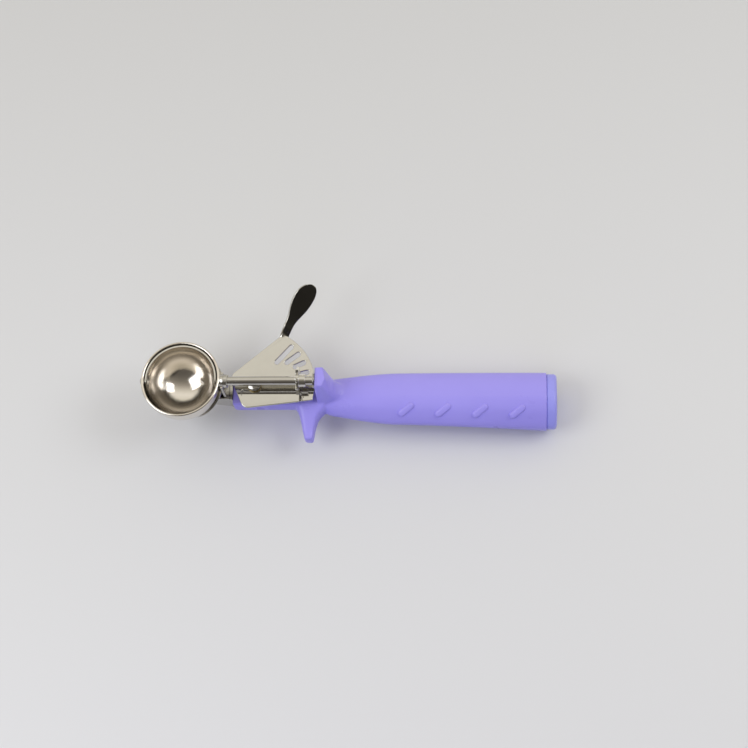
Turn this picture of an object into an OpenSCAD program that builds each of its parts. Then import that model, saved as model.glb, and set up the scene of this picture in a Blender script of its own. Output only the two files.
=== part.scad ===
// Lever ice cream scoop: a thumb-press disher.
// Millimetres. The origin is the centre of the bowl's mouth, +Z points out of the mouth,
// +X runs along the handle to its butt and +Y points to the side of the thumb lever.

/* [Bowl] */
// Outer radius of the bowl's wall
bowl_r = 20.2; // [18:0.1:24]
// Thickness of the bowl's wall
bowl_wall = 1.0; // [0.8:0.1:1.4]
// Height of the straight lip above the shaft's axis
lip_h = 3.9; // [3.7:0.1:5.5]
// Radius of the rolled bead round the mouth
bead_r = 0.7; // [0.6:0.05:1]
// Radius of the nose rivet's shank
nose_r = 1.5; // [1.2:0.05:1.8]
// Height of the nose rivet's outer head
nose_head_h = 1.6; // [1:0.1:2]

/* [Scraper] */
// Radius of the scraper shaft
shaft_r = 2.38; // [2:0.02:2.6]
// Width of the scraper blade at its middle
blade_w = 7.2; // [6:0.1:7.4]
// Thickness of the scraper blade
blade_t = 0.8; // [0.6:0.05:1]
// Gap between the blade and the bowl's wall
blade_gap = 0.35; // [0.3:0.05:0.6]
// Radius of the shaft's riveted stub in the blade's ear
stub_r = 1.5; // [1.2:0.05:1.7]

/* [Pinion] */
// Outer radius of the pinion
pinion_r = 7.3; // [7:0.05:7.6]
// Thickness of the pinion's disc
pinion_t = 1.4; // [1:0.1:1.8]
// How far the teeth dip into the lever's slots
mesh_depth = 0.7; // [0.5:0.05:0.9]
// Width of a tooth at its tip
tooth_tip = 0.9; // [0.7:0.05:1]
// Width of a tooth at its root
tooth_root = 2.6; // [2:0.1:3]
// Length of the pinion's hub
hub_len = 3.4; // [3:0.1:4]
// Wall of the pinion's hub
hub_wall = 1.1; // [0.9:0.1:1.4]
// Radius of the cross pin through hub and shaft
cross_pin_r = 0.7; // [0.5:0.05:0.9]
// Thickness of the clip that keeps the shaft in
clip_t = 0.8; // [0.6:0.05:1]
// Outer radius of the clip
clip_r = 4.1; // [3.6:0.1:4.6]

/* [Thumb lever] */
// Distance from the tang's front face to the lever's pivot
pivot_back = 14; // [13.6:0.1:18.8]
// Radius of the lever's toothed rim, from the pivot
plate_r = 31.6; // [31:0.1:34]
// Thickness of the lever's plate
plate_t = 1.2; // [1:0.1:1.5]
// Distance from the pivot to the straight edge beside the handle
plate_edge = 11.7; // [10:0.1:12.4]
// Distance from the pivot to the straight edge beside the thumb tab
plate_edge_out = 12.7; // [11.7:0.1:13]
// Angle between each straight edge and the plate's middle line
plate_flare = 17.1; // [15:0.1:19]
// Distance from the pivot to the heel edge
heel_d = 9.7; // [8:0.1:9.9]
// Radius of the heel's corners
heel_corner = 2.8; // [2:0.1:3.5]
// Direction of the plate's middle line at rest
lever_angle = 23.9; // [22:0.1:25]
// Distance from the pivot to the pinion
mesh_r = 23.6; // [23:0.1:24.5]
// Angle between neighbouring slots
slot_pitch = 11.5; // [11.3:0.1:11.7]
// Direction of the first slot at rest
slot_start = 3.3; // [3:0.1:3.6]
// Width of a slot
slot_w = 2.5; // [2.4:0.05:2.7]
// Metal left between the slots and the rim
slot_rim = 2.3; // [1.8:0.1:2.6]

/* [Thumb tab] */
// Length of the tab from its root to its tip
tab_len = 29.6; // [26:0.1:32]
// Width of the tab's neck
tab_neck = 4.9; // [4.4:0.1:5.5]
// Width of the tab's thumb pad
tab_w = 11.2; // [10:0.1:13]
// Thickness of the tab
tab_t = 1.3; // [1:0.1:1.6]
// How far the tab climbs from root to tip
tab_rise = 10.4; // [7:0.1:12]
// Lean of the thumb pad away from upright
tab_lean = 38; // [32:1:42]
// How far the tab sways sideways along its length
tab_sway = 5.9; // [4:0.1:8]
// Direction of the tab from the plate's middle line
tab_angle = 38.4; // [37.6:0.1:39]

/* [Pivot and spring] */
// Radius of the pivot's post
post_r = 2.4; // [2:0.05:2.6]
// Radius of the pivot's domed head
head_r = 3.3; // [3:0.1:3.8]
// Height of the pivot's domed head
head_h = 0.9; // [0.7:0.05:1]
// Thickness of the washers beside the lever
washer_t = 0.4; // [0.3:0.05:0.5]
// Outer radius of the lower washer and the spacer
washer_r = 4.8; // [4.2:0.1:5.2]
// Height of the spacer between arm and lever
spacer_h = 4.25; // [4:0.05:5]
// Diameter of the spring's wire
wire_d = 0.7; // [0.6:0.05:0.75]
// Mean radius of the spring's coil
coil_r = 3.25; // [3.2:0.05:3.5]

/* [Saddle and tang] */
// Thickness of the dished steel saddle and its upright
saddle_t = 1.4; // [1.1:0.1:1.6]
// Tilt of the saddle's rim
saddle_tilt = 34; // [31:1:37]
// Angle from the middle of the saddle's dish to its rim
saddle_span = 43.4; // [40.5:0.1:47]
// Width of the neck between saddle and tang
neck_w = 10.4; // [9.8:0.1:12]
// Length of the neck from the bowl's wall to the tang
neck_len = 3; // [2.7:0.1:3.4]
// Depth of the neck's lower end below the arm's top
neck_depth = 12; // [11:0.1:12.6]
// Thickness of the tang
tang_t = 1.6; // [1.5:0.1:1.8]
// Width of the tang
tang_w = 11; // [10:0.5:13]
// Length of the tang along the arm
tang_len = 42; // [40:0.5:43]
// Depth of the tang's strap inside the arm
tang_depth = 6.6; // [6.2:0.1:7.4]
// Radius of the shanks of the tang's and the saddle's screws
screw_r = 1.2; // [1:0.05:1.3]
// Radius of the screws' heads
screw_head_r = 2.0; // [1.8:0.05:2.2]
// Wall of the two bearings
bush_wall = 1.1; // [0.9:0.1:1.2]
// Length of the bearing behind the bowl
front_bush_len = 3.6; // [3.2:0.1:4]
// Length of the bearing in the hilt
rear_bush_len = 4.6; // [4:0.1:5.2]

/* [Handle] */
// Width of the arm under the lever
arm_w = 16.1; // [14.5:0.1:18]
// Depth of the arm
arm_t = 13.3; // [12.3:0.1:14.5]
// Sideways shift of the arm from the shaft's axis
arm_shift = -0.55; // [-1.5:0.05:0]
// Gap between the lever's rim and the hilt
hilt_gap = 0.9; // [0.8:0.1:2]
// Thickness of the hilt's crest
hilt_t = 5.4; // [5:0.1:7]
// Height of the hilt's crest above the shaft's axis
crest_h = 5.5; // [5:0.1:7]
// Width of the hilt's crest
crest_w = 10.2; // [9.2:0.1:12]
// Length of the grip behind the hilt
grip_len = 111.9; // [100:0.1:125]
// Width of the grip where the palm starts
grip_w = 27.4; // [25:0.2:30]
// Depth of the grip where the palm starts
grip_t = 18.6; // [17:0.2:21]
// Width of the grip at the butt
butt_w = 30.2; // [28:0.2:33]
// Depth of the grip at the butt
butt_t = 26; // [23:0.2:28]
// Sideways shift of the grip where the palm starts
palm_shift = -2.7; // [-4:0.1:-1.5]
// Sideways shift of the butt from the shaft's axis
butt_shift = -3.7; // [-5:0.1:-2]
// Wall of the hollow grip
grip_wall = 2.6; // [2:0.1:3.2]
// Length of the hollow in the grip
hollow_len = 92; // [70:1:94]
// Reach of the finger guard from the arm
guard_len = 17.6; // [14:0.2:20]
// Width of the finger guard at its root
guard_root = 9; // [8:0.5:9.5]
// Width of the finger guard at its tip
guard_tip = 5; // [4:0.5:6]
// Number of raised ribs on the grip
rib_count = 4; // [3:1:5]
// Distance between ribs
rib_pitch = 19.1; // [16:0.1:20]
// Length of a rib
rib_len = 9.6; // [7:0.1:11]
// Width of a rib
rib_w = 2.6; // [2:0.1:3.2]
// Height of a rib above the grip
rib_h = 0.55; // [0.4:0.05:0.8]
// Length of the end cap that shows
cap_len = 5.2; // [4:0.1:7]
// How much smaller the end cap is than the butt
cap_inset = 0.7; // [0.5:0.05:1.2]
// Length of the end cap's plug inside the grip
plug_len = 8; // [6:0.5:12]
// Wall of the end cap's plug
plug_wall = 2; // [1.5:0.1:2.5]

/* [Hidden] */
$fn = 72;

steel = "gainsboro";
bright_steel = "whitesmoke";
dull_steel = "darkgray";
purple = "mediumpurple";
run_gap = 0.05;    // radial gap of a shaft or pin that turns in its hole
seat_gap = 0.02;   // gap of a piece that is fixed in its seat
tooth_count = 8;   // teeth of the pinion, one per slot of the lever
coil_turns = 2.5;  // turns in the spring's coil

// levels, from the shaft's axis down to the arm
axis_z = -lip_h;
plate_top = axis_z - pinion_r + mesh_depth;
plate_low = plate_top - plate_t;
washer_top = plate_low - run_gap;
spacer_top = washer_top - washer_t;
deck_z = spacer_top - spacer_h;
arm_low = deck_z - arm_t;
strap_top = deck_z - tang_depth;
strap_low = strap_top - tang_t;
neck_top = deck_z - 0.2;
neck_low = deck_z - neck_depth;

// stations along the handle
bowl_in = bowl_r - bowl_wall;
blade_out = bowl_in - blade_gap;
blade_in = blade_out - blade_t;
ear_r = blade_w / 2;
ear_out = sqrt(blade_out * blade_out - ear_r * ear_r);
ear_in = ear_out - blade_t;
saddle_in = bowl_r + seat_gap;
saddle_cut = (saddle_in + saddle_t) * cos(saddle_span);   // from the bowl's centre to the rim's plane
upright_x = bowl_r + bead_r / 2 + 0.05;   // clear of the bowl's bead
tang_x = bowl_r + neck_len;
pivot_x = tang_x + pivot_back;
arm_x = tang_x + tang_t + seat_gap;
leg_x = tang_x + tang_t / 2;               // the spring's fixed leg stands in the tang's upright
pinion_x = pivot_x + mesh_r;
hilt_x = pivot_x + plate_r + hilt_gap;
clip_gap = 0.3;
clip_x = hilt_x - clip_gap - clip_t;
grip_x = hilt_x + hilt_t + 1.2;
butt_x = grip_x + grip_len;
bush_r = shaft_r + run_gap + bush_wall;
shaft_end = hilt_x + rear_bush_len - 0.4;
tang_screw_len = 10.6;
tang_screw_back = 9.5;   // from the pivot to the tang's first screw
tang_screw_end = 4.5;    // from the tang's second screw to the strap's end
tang_screw_xs = [pivot_x + tang_screw_back, tang_x + tang_len - tang_screw_end];

// grip sections: u runs from 0 at the hilt to 1 at the butt
palm_u = 0.3;
neck_grip_w = arm_w + 2;
neck_grip_t = arm_t + 0.5;
function mix(a, b, t) = a + (b - a) * t;
function ease(t) = let (c = min(1, max(0, t))) c * c * (3 - 2 * c);
function fore(u) = ease(u / palm_u);
function aft(u) = pow(max(0, u - palm_u) / (1 - palm_u), 1.8);
function aft_line(u) = max(0, u - palm_u) / (1 - palm_u);
function half_w(u) = (mix(neck_grip_w, grip_w, fore(u)) + (butt_w - grip_w) * aft_line(u)) / 2;
function half_t(u) = (mix(neck_grip_t, grip_t, fore(u)) + (butt_t - grip_t) * aft(u)) / 2;
function mid_y(u) = mix(arm_shift, palm_shift, fore(u)) + (butt_shift - palm_shift) * aft_line(u);
function front_z(u) = deck_z + mix(-0.5, 1.35, fore(u)) + 1.55 * aft_line(u);
function mid_z(u) = front_z(u) - half_t(u);
function grip_at(u) = grip_x + u * grip_len;

// one ring of an oval, squarer than an ellipse
ring_n = 40;
oval_power = 0.88;
function signed_pow(v) = sign(v) * pow(abs(v), oval_power);
function oval(x, y, z, w, t) = [for (i = [0 : ring_n - 1])
  let (a = 360 * i / ring_n) [x, y + w * signed_pow(cos(a)), z + t * signed_pow(sin(a))]];
function grip_ring(u, inset) = oval(grip_at(u), mid_y(u), mid_z(u), half_w(u) - inset, half_t(u) - inset);

// closed skin over a list of rings that all have the same number of points
module loft(rings) {
  n = len(rings[0]);
  m = len(rings);
  side = [for (j = [0 : m - 2], i = [0 : n - 1]) let (k = (i + 1) % n)
    each [[j * n + i, (j + 1) * n + k, j * n + k], [j * n + i, (j + 1) * n + i, (j + 1) * n + k]]];
  first = [for (i = [0 : n - 1]) i];
  last = [for (i = [n - 1 : -1 : 0]) (m - 1) * n + i];
  polyhedron([for (r = rings) each r], concat([first], side, [last]));
}

// bodies of revolution about lines along X and tubes along them
module along_x(x, y = 0, z = axis_z) translate([x, y, z]) rotate([0, 90, 0]) children();
module in_lever() translate([pivot_x, 0, 0]) rotate(lever_angle) children();
module slab(x0, x1, y0, y1, z0, z1) translate([x0, y0, z0]) cube([x1 - x0, y1 - y0, z1 - z0]);
// low dome on the plane z = 0
module dome(r, h) {
  ball = (r * r + h * h) / (2 * h);
  intersection() {
    translate([0, 0, h - ball]) sphere(ball);
    cylinder(r = r, h = h);
  }
}

// ---- handle: moulded arm, hilt, finger guard and hollow grip ----
arm_side = arm_shift - arm_w / 2;   // the arm's edge on the guard's side
arm_round = arm_t * 0.47;           // radius along the arm's underside
module arm_profile() translate([arm_shift, 0]) {
  translate([-arm_w / 2, arm_low + arm_round]) square([arm_w, arm_t - arm_round]);
  translate([arm_round - arm_w / 2, arm_low]) square([arm_w - 2 * arm_round, arm_t]);
  for (s = [-1, 1]) translate([s * (arm_w / 2 - arm_round), arm_low + arm_round]) circle(arm_round);
}

// hilt: upright that holds the rear bearing, narrow at its crest and as wide as the arm at its foot
crest_round = 3.5;
crest_y = 0.5;                      // the crest leans this far towards the thumb
hilt_foot = 3.5;                    // how much longer the hilt is at its foot
module hilt() hull() {
  for (s = [-1, 1])
    along_x(hilt_x, crest_y + s * (crest_w / 2 - crest_round), axis_z + crest_h - crest_round)
      cylinder(r = crest_round, h = hilt_t, $fn = 32);
  slab(hilt_x, hilt_x + hilt_t + hilt_foot, arm_side, arm_side + arm_w, deck_z - arm_t / 2, deck_z);
}

// fillet between the hilt's rear and the grip
fillet_y = [-5.5, 5];
module hilt_fillet() hull() {
  slab(hilt_x + hilt_t, grip_x + 3, fillet_y[0], fillet_y[1], deck_z - 2, deck_z + 2.8);
  slab(hilt_x + hilt_t, grip_x + 7, fillet_y[0] - 1, fillet_y[1] + 0.5, deck_z - 2, deck_z + 0.3);
}

// tapered guard that sticks out beside the hilt for the index finger
guard_round = 1.6;
guard_x = hilt_x - guard_root / 2;
guard_z = [arm_low + 2 * guard_round, deck_z - 6];
module guard_end(x, width, y, z) for (s = [-1, 1], h = z)
  translate([x + s * (width / 2 - guard_round), y, h]) sphere(guard_round, $fn = 24);
module finger_guard() hull() {
  guard_end(guard_x, guard_root, arm_side + 4, [arm_low + 2.2, deck_z - guard_round]);
  guard_end(guard_x + 0.4, guard_tip, arm_side - guard_len + guard_round, guard_z);
}

rib_first = 0.354;    // share of the grip's length at which the first rib sits
rib_tilt = 38;        // turn of a rib from the grip's length
rib_roll = 32;        // tip of the ribs' faces over the grip's edge
rib_out = [0.6, 0.82];
module rib(k) {
  u = rib_first + k * rib_pitch / grip_len;
  seat = [grip_at(u), mid_y(u) - half_w(u) * rib_out[0], mid_z(u) + half_t(u) * rib_out[1]];
  translate(seat) rotate([rib_roll, 0, 0]) rotate(rib_tilt) translate([0, 0, -2]) linear_extrude(2 + rib_h) {
    square([rib_len - rib_w, rib_w], center = true);
    for (s = [-1, 1]) translate([s * (rib_len - rib_w) / 2, 0]) circle(rib_w / 2);
  }
}

grip_steps = 28;
hollow_steps = 16;
hollow_u = 1 - hollow_len / grip_len;
module handle() color(purple) difference() {
  union() {
    translate([arm_x, 0, 0]) rotate([90, 0, 90]) linear_extrude(grip_x - arm_x) arm_profile();
    hilt();
    hilt_fillet();
    finger_guard();
    loft([for (i = [0 : grip_steps]) grip_ring(i / grip_steps, 0)]);
    for (k = [0 : rib_count - 1]) rib(k);
  }
  loft([for (i = [0 : hollow_steps])
    grip_ring(mix(hollow_u, 1, i / hollow_steps) + (i == hollow_steps ? 0.01 : 0), grip_wall)]);
  along_x(hilt_x - 1) cylinder(r = bush_r + seat_gap, h = rear_bush_len + 1 + seat_gap);
  slab(arm_x - 1, tang_x + tang_len + seat_gap, -tang_w / 2 - seat_gap, tang_w / 2 + seat_gap,
    strap_low - seat_gap, strap_top + seat_gap);
  translate([pivot_x, 0, strap_low]) cylinder(r = post_r + seat_gap, h = deck_z - strap_low + 1);
  for (x = tang_screw_xs) translate([x, 0, deck_z - tang_screw_len - 0.3]) screw_hole(tang_screw_len + 0.3);
}

// ---- end cap: plug with a rounded face ----
cap_x = butt_x + seat_gap;
cap_round = 1.8;
plug_inset = grip_wall + 0.05;
plug_u = plug_len / grip_len;
function cap_ring(x, shrink) = oval(x, mid_y(1), mid_z(1), half_w(1) - cap_inset - shrink,
  half_t(1) - cap_inset - shrink);
module end_cap() color("mediumslateblue") {
  loft(concat([cap_ring(cap_x, 0)], [for (a = [0 : 15 : 90])
    cap_ring(cap_x + cap_len - cap_round * (1 - sin(a)), cap_round * (1 - cos(a)))]));
  difference() {
    loft([for (i = [0 : 2]) grip_ring(mix(1 - plug_u, 1.0005, i / 2), plug_inset)]);
    loft([for (i = [0 : 2]) grip_ring(mix(0.99 - plug_u, 0.998, i / 2), plug_inset + plug_wall)]);
  }
}

// ---- bowl: spun hemisphere with a straight lip and a rolled bead ----
module bowl() color(bright_steel) difference() {
  rotate_extrude($fn = 120) {
    intersection() {
      translate([0, axis_z]) difference() {
        circle(bowl_r);
        circle(bowl_in);
      }
      translate([0, axis_z - bowl_r - 1]) square([bowl_r + 1, bowl_r + 1]);
    }
    translate([bowl_in, axis_z]) square([bowl_wall, lip_h - bead_r]);
    translate([bowl_r - bead_r / 2, -bead_r]) circle(bead_r, $fn = 32);
  }
  along_x(0) cylinder(r = spigot_r + seat_gap, h = bowl_r + 1);
  along_x(-bowl_r - 1) cylinder(r = nose_r + seat_gap, h = bowl_r + 1);
}

// ---- saddle: dished shield on the bowl's rear, with a neck and an upright for the bearing ----
upright_w = 2 * bush_r + 2;
upright_t = saddle_t - 0.1;
cap_span = 2 * (saddle_in + saddle_t);
module bowl_saddle() color(steel) difference() {
  union() {
    intersection() {
      translate([0, 0, axis_z]) sphere(saddle_in + saddle_t, $fn = 120);
      translate([0, 0, axis_z]) rotate([0, -saddle_tilt, 0])
        translate([-cap_span / 2, -cap_span / 2, -saddle_cut - cap_span]) cube(cap_span);
    }
    rotate([90, 0, 0]) linear_extrude(neck_w, center = true)
      polygon([[bowl_r * 0.35, axis_z - bowl_r * 0.945], [tang_x, neck_low],
        [tang_x, neck_top], [bowl_r * 0.805, neck_top]]);
    slab(upright_x, upright_x + upright_t, -upright_w / 2, upright_w / 2, neck_top - 2, axis_z + 1);
  }
  translate([0, 0, axis_z]) sphere(saddle_in, $fn = 120);
  along_x(0) cylinder(r = bush_r + seat_gap, h = tang_x + 1);
  for (s = [-1, 1]) along_x(tang_x - saddle_screw_len, s * saddle_screw_y, saddle_screw_z)
    cylinder(r = screw_r + seat_gap, h = saddle_screw_len + 1);
}

// ---- tang: strap in the arm with an upright that the saddle is screwed to ----
saddle_screw_y = 3;
saddle_screw_z = deck_z - 4.1;
saddle_screw_len = 3.2;
leg_hole = 1.3;       // depth of the spring leg's hole
sink = 1.1;           // depth of a countersink
slot_cut = 0.45;      // width of the cross in a screw's head
module screw_hole(depth) {
  cylinder(r = screw_r + seat_gap, h = depth + 1);
  translate([0, 0, depth - sink]) cylinder(r1 = screw_r + seat_gap, r2 = screw_head_r + seat_gap, h = sink);
}
module tang() color(dull_steel) difference() {
  union() {
    slab(tang_x + seat_gap, tang_x + tang_t, -tang_w / 2, tang_w / 2, neck_low, neck_top);
    slab(tang_x + seat_gap, tang_x + tang_len, -tang_w / 2, tang_w / 2, strap_low, strap_top);
  }
  for (s = [-1, 1]) along_x(tang_x, s * saddle_screw_y, saddle_screw_z) screw_hole(tang_t);
  for (x = tang_screw_xs) translate([x, 0, strap_low - 1])
    cylinder(r = screw_r + seat_gap, h = tang_t + 2);
  translate([pivot_x, 0, strap_low - 1]) cylinder(r = post_r + seat_gap, h = tang_t + 2);
  translate([leg_x, coil_r, neck_top - leg_hole]) cylinder(r = wire_d / 2 + run_gap, h = leg_hole + 1);
}

module countersunk_screw(length, plate) {
  translate([0, 0, plate - length]) cylinder(r = screw_r, h = length - sink);
  difference() {
    translate([0, 0, plate - sink]) cylinder(r1 = screw_r, r2 = screw_head_r, h = sink);
    translate([0, 0, plate - sink / 2]) linear_extrude(sink) {
      square([screw_head_r * 1.3, slot_cut], center = true);
      square([slot_cut, screw_head_r * 1.3], center = true);
    }
  }
}
module saddle_screws() color(bright_steel) for (s = [-1, 1])
  along_x(tang_x, s * saddle_screw_y, saddle_screw_z)
    countersunk_screw(saddle_screw_len + tang_t - 0.2, tang_t);
module tang_screws() color(bright_steel) for (x = tang_screw_xs)
  translate([x, 0, deck_z]) countersunk_screw(tang_screw_len, 0);

// ---- bearings of the scraper shaft: the front one has a spigot in the bowl's wall ----
module bush(length) difference() {
  cylinder(r = bush_r, h = length);
  translate([0, 0, -1]) cylinder(r = shaft_r + run_gap, h = length + 2);
}
spigot_r = shaft_r + run_gap + 0.5;
spigot_len = upright_x - bowl_in - 0.05;
module front_bearing() color("wheat") {
  along_x(upright_x) bush(front_bush_len);
  along_x(upright_x - spigot_len) difference() {
    cylinder(r = spigot_r, h = spigot_len + 0.1);
    translate([0, 0, -1]) cylinder(r = shaft_r + run_gap, h = spigot_len + 2);
  }
}
module rear_bearing() color("wheat") along_x(hilt_x) bush(rear_bush_len);

// ---- nose rivet: pivot of the blade at the bowl's far side ----
nose_head_r = nose_r + 0.9;
inner_head_h = 0.9;   // height of the low heads inside the blade's ears
module nose_rivet() color(bright_steel) {
  along_x(-bowl_r - 0.1) cylinder(r = nose_r, h = bowl_r + 0.1 - ear_in + 0.2);
  along_x(-bowl_r - 0.05) mirror([0, 0, 1]) dome(nose_head_r, nose_head_h);
  along_x(-ear_in + run_gap) dome(nose_head_r, inner_head_h);
}

// ---- lever pivot: headed post through the arm, riveted into the tang ----
wire_pitch = wire_d + 0.03;
head_z = plate_top + run_gap + washer_t + coil_turns * wire_pitch + wire_d + 0.08;
module lever_pivot() color(bright_steel) translate([pivot_x, 0, 0]) {
  translate([0, 0, strap_low + 0.1]) cylinder(r = post_r, h = head_z - strap_low);
  translate([0, 0, head_z]) dome(head_r, head_h);
}
module ring(r_in, r_out, z, h) translate([pivot_x, 0, z]) difference() {
  cylinder(r = r_out, h = h);
  translate([0, 0, -1]) cylinder(r = r_in, h = h + 2);
}
module pivot_spacer() color(steel)
  ring(post_r + seat_gap, washer_r, deck_z + seat_gap, spacer_h - 2 * seat_gap);
module lower_washer() color("wheat") ring(post_r + seat_gap, washer_r, spacer_top, washer_t);
module upper_washer() color("wheat")
  ring(post_r + seat_gap, coil_r + wire_d, plate_top + run_gap, washer_t);

// ---- torsion spring: coil round the post, one leg in the tang's upright and one in the lever ----
coil_low = plate_top + run_gap + washer_t + 0.02 + wire_d / 2;
leg_back = 6.3;            // from the pivot to the leg that stands in the lever
leg_b_x = pivot_x - leg_back;
wire_sides = 8;
coil_steps = 24;
coil_end = coil_low + coil_turns * wire_pitch;
bend = 0.9;                // radius of the wire's bends
coil_route = concat(
  [[leg_x, coil_r, neck_top - leg_hole + 0.1], [leg_x, coil_r, coil_low - bend],
   [leg_x + bend * 0.3, coil_r, coil_low - bend * 0.3], [leg_x + bend, coil_r, coil_low]],
  [for (i = [0 : coil_steps * coil_turns]) let (a = 90 - 360 * i / coil_steps)
    [pivot_x + coil_r * cos(a), coil_r * sin(a), coil_low + wire_pitch * i / coil_steps]],
  [[leg_b_x + bend, -coil_r, coil_end], [leg_b_x + bend * 0.3, -coil_r, coil_end - bend * 0.3],
   [leg_b_x, -coil_r, coil_end - bend], [leg_b_x, -coil_r, plate_low + 0.2]]);
function unit(v) = v / norm(v);
// ring of the wire's skin round point i of a route
function wire_ring(route, i) =
  let (
    before = route[max(0, i - 1)],
    after = route[min(len(route) - 1, i + 1)],
    way = unit(after - before),
    side = unit(cross(way, abs(way[2]) > 0.9 ? [0, 1, 0] : [0, 0, 1])),
    up = cross(way, side))
  [for (k = [0 : wire_sides - 1]) let (a = 360 * k / wire_sides)
    route[i] + wire_d / 2 * (cos(a) * side + sin(a) * up)];
module torsion_spring() color(dull_steel)
  loft([for (i = [0 : len(coil_route) - 1]) wire_ring(coil_route, i)]);

// ---- thumb lever: slotted sector plate with a bent thumb tab ----
slot_count = 5;
slot_short = 4.8;     // between the centres of a slot's round ends
slot_lengths = [slot_short, slot_short, slot_short, slot_short + 2.5, slot_short + 6.2];
module sector() intersection() {
  circle(plate_r, $fn = 180);
  offset(r = heel_corner, $fn = 48) offset(delta = -heel_corner)
    polygon([for (s = [-1, 1], x = s < 0 ? [-heel_d, plate_r + 8] : [plate_r + 8, -heel_d])
      [x, s * ((s < 0 ? plate_edge : plate_edge_out) + x * sin(plate_flare)) / cos(plate_flare)]]);
}
module slot(k) {
  outer = plate_r - slot_rim - slot_w / 2;
  rotate(slot_start + k * slot_pitch - lever_angle) {
    translate([outer - slot_lengths[k], -slot_w / 2]) square([slot_lengths[k], slot_w]);
    for (x = [outer - slot_lengths[k], outer]) translate([x, 0]) circle(slot_w / 2);
  }
}
// half-width, height, lean and sway of the tab at share s of its length
tab_root_r = plate_r - 1.8;
pad_s = 0.73;         // share of the length at which the pad starts to round off
neck_lean = -14;      // lean of the neck, twisted the other way from the pad
function tab_half(s) = (mix(tab_neck, tab_w, ease((s - 0.24) / 0.45)) *
  sqrt(1 - pow(max(0, s - pad_s) / (1 - pad_s), 2)) + 0.5) / 2;
function tab_leans(s) = mix(neck_lean, tab_lean, ease(s / 0.46));
function tab_mid_z(s) = plate_low + 0.1 + tab_neck / 2 * cos(neck_lean) + tab_rise * ease((s - 0.15) / 0.93);
function tab_side(s) = tab_sway * s * (0.49 - s);
function tab_ring(s) =
  let (
    c = cos(tab_leans(s)), d = sin(tab_leans(s)),
    w = tab_half(s), t = tab_t / 2, e = t * 0.6,
    x = tab_root_r + s * tab_len, y = tab_side(s), z = tab_mid_z(s),
    corners = [[-w + e, -t], [w - e, -t], [w, -t + e], [w, t - e],
      [w - e, t], [-w + e, t], [-w, t - e], [-w, -t + e]])
  [for (p = corners) [x, y + p[0] * d - p[1] * c, z + p[0] * c + p[1] * d]];
module thumb_lever() color(bright_steel) {
  difference() {
    in_lever() translate([0, 0, plate_low]) linear_extrude(plate_t) sector();
    in_lever() translate([0, 0, plate_low - 1]) linear_extrude(plate_t + 2)
      for (k = [0 : slot_count - 1]) slot(k);
    translate([pivot_x, 0, plate_low - 1]) cylinder(r = post_r + run_gap, h = plate_t + 2);
    translate([leg_b_x, -coil_r, plate_low - 1]) cylinder(r = wire_d / 2 + run_gap, h = plate_t + 2);
  }
  in_lever() rotate(tab_angle) loft([for (i = [0 : 26]) tab_ring(i < 26 ? i / 26 : 0.997)]);
}

// ---- scraper shaft: rod with a riveted stub in the blade's ear ----
module scraper_shaft() color(bright_steel) {
  difference() {
    along_x(blade_out + 0.03) cylinder(r = shaft_r, h = shaft_end - blade_out);
    along_x(clip_x - seat_gap) ring_cut();
    translate([hub_x + hub_len / 2, -shaft_r - 1, axis_z]) rotate([-90, 0, 0])
      cylinder(r = cross_pin_r + seat_gap, h = 2 * shaft_r + 2);
  }
  along_x(ear_in - 0.2) cylinder(r = stub_r, h = blade_out - ear_in + 0.3);
  along_x(ear_in - seat_gap) mirror([0, 0, 1]) dome(stub_r + 0.8, inner_head_h);
}
groove_r = shaft_r - 0.5;
module ring_cut() difference() {
  cylinder(r = shaft_r + 1, h = clip_t + 2 * seat_gap);
  translate([0, 0, -1]) cylinder(r = groove_r, h = clip_t + 3);
}

// ---- scraper blade: half ring of strip that follows the bowl's wall, with round ears ----
module blade_band() translate([0, 0, axis_z]) rotate_extrude(angle = 180, $fn = 120) intersection() {
  difference() {
    circle(blade_out, $fn = 120);
    circle(blade_in, $fn = 120);
  }
  translate([0, -blade_w / 2]) square([bowl_r, blade_w]);
}
module scraper_blade() color(bright_steel) difference() {
  union() {
    blade_band();
    for (x = [-ear_out, ear_in]) along_x(x) cylinder(r = ear_r, h = blade_t);
  }
  along_x(-bowl_r) cylinder(r = nose_r + run_gap, h = bowl_r);
  along_x(0) cylinder(r = stub_r + seat_gap, h = bowl_r);
}

// ---- pinion: toothed disc with a hub, pinned to the shaft ----
hub_x = pinion_x + pinion_t / 2;
tooth_h = 2.8;
tooth_base = pinion_r - tooth_h;
tooth_phase = slot_start * 360 / (tooth_count * slot_pitch) - 90;   // the lowest tooth meets its slot
module pinion_outline() {
  circle(tooth_base);
  for (k = [0 : tooth_count - 1]) rotate(tooth_phase + k * 360 / tooth_count)
    polygon([[tooth_base - 0.5, -tooth_root / 2], [pinion_r, -tooth_tip / 2],
      [pinion_r, tooth_tip / 2], [tooth_base - 0.5, tooth_root / 2]]);
}
hub_r = shaft_r + seat_gap + hub_wall;
module pinion() color(steel) difference() {
  union() {
    translate([pinion_x - pinion_t / 2, 0, axis_z]) rotate([90, 0, 90])
      linear_extrude(pinion_t) pinion_outline();
    along_x(hub_x - 0.1) cylinder(r = hub_r, h = hub_len + 0.1);
  }
  along_x(pinion_x - pinion_t) cylinder(r = shaft_r + seat_gap, h = hub_len + 2 * pinion_t);
  translate([hub_x + hub_len / 2, -hub_r - 1, axis_z]) rotate([-90, 0, 0])
    cylinder(r = cross_pin_r + seat_gap, h = 2 * hub_r + 2);
}
module pinion_pin() color(dull_steel) translate([hub_x + hub_len / 2, -hub_r, axis_z])
  rotate([-90, 0, 0]) cylinder(r = cross_pin_r, h = 2 * hub_r);

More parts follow.
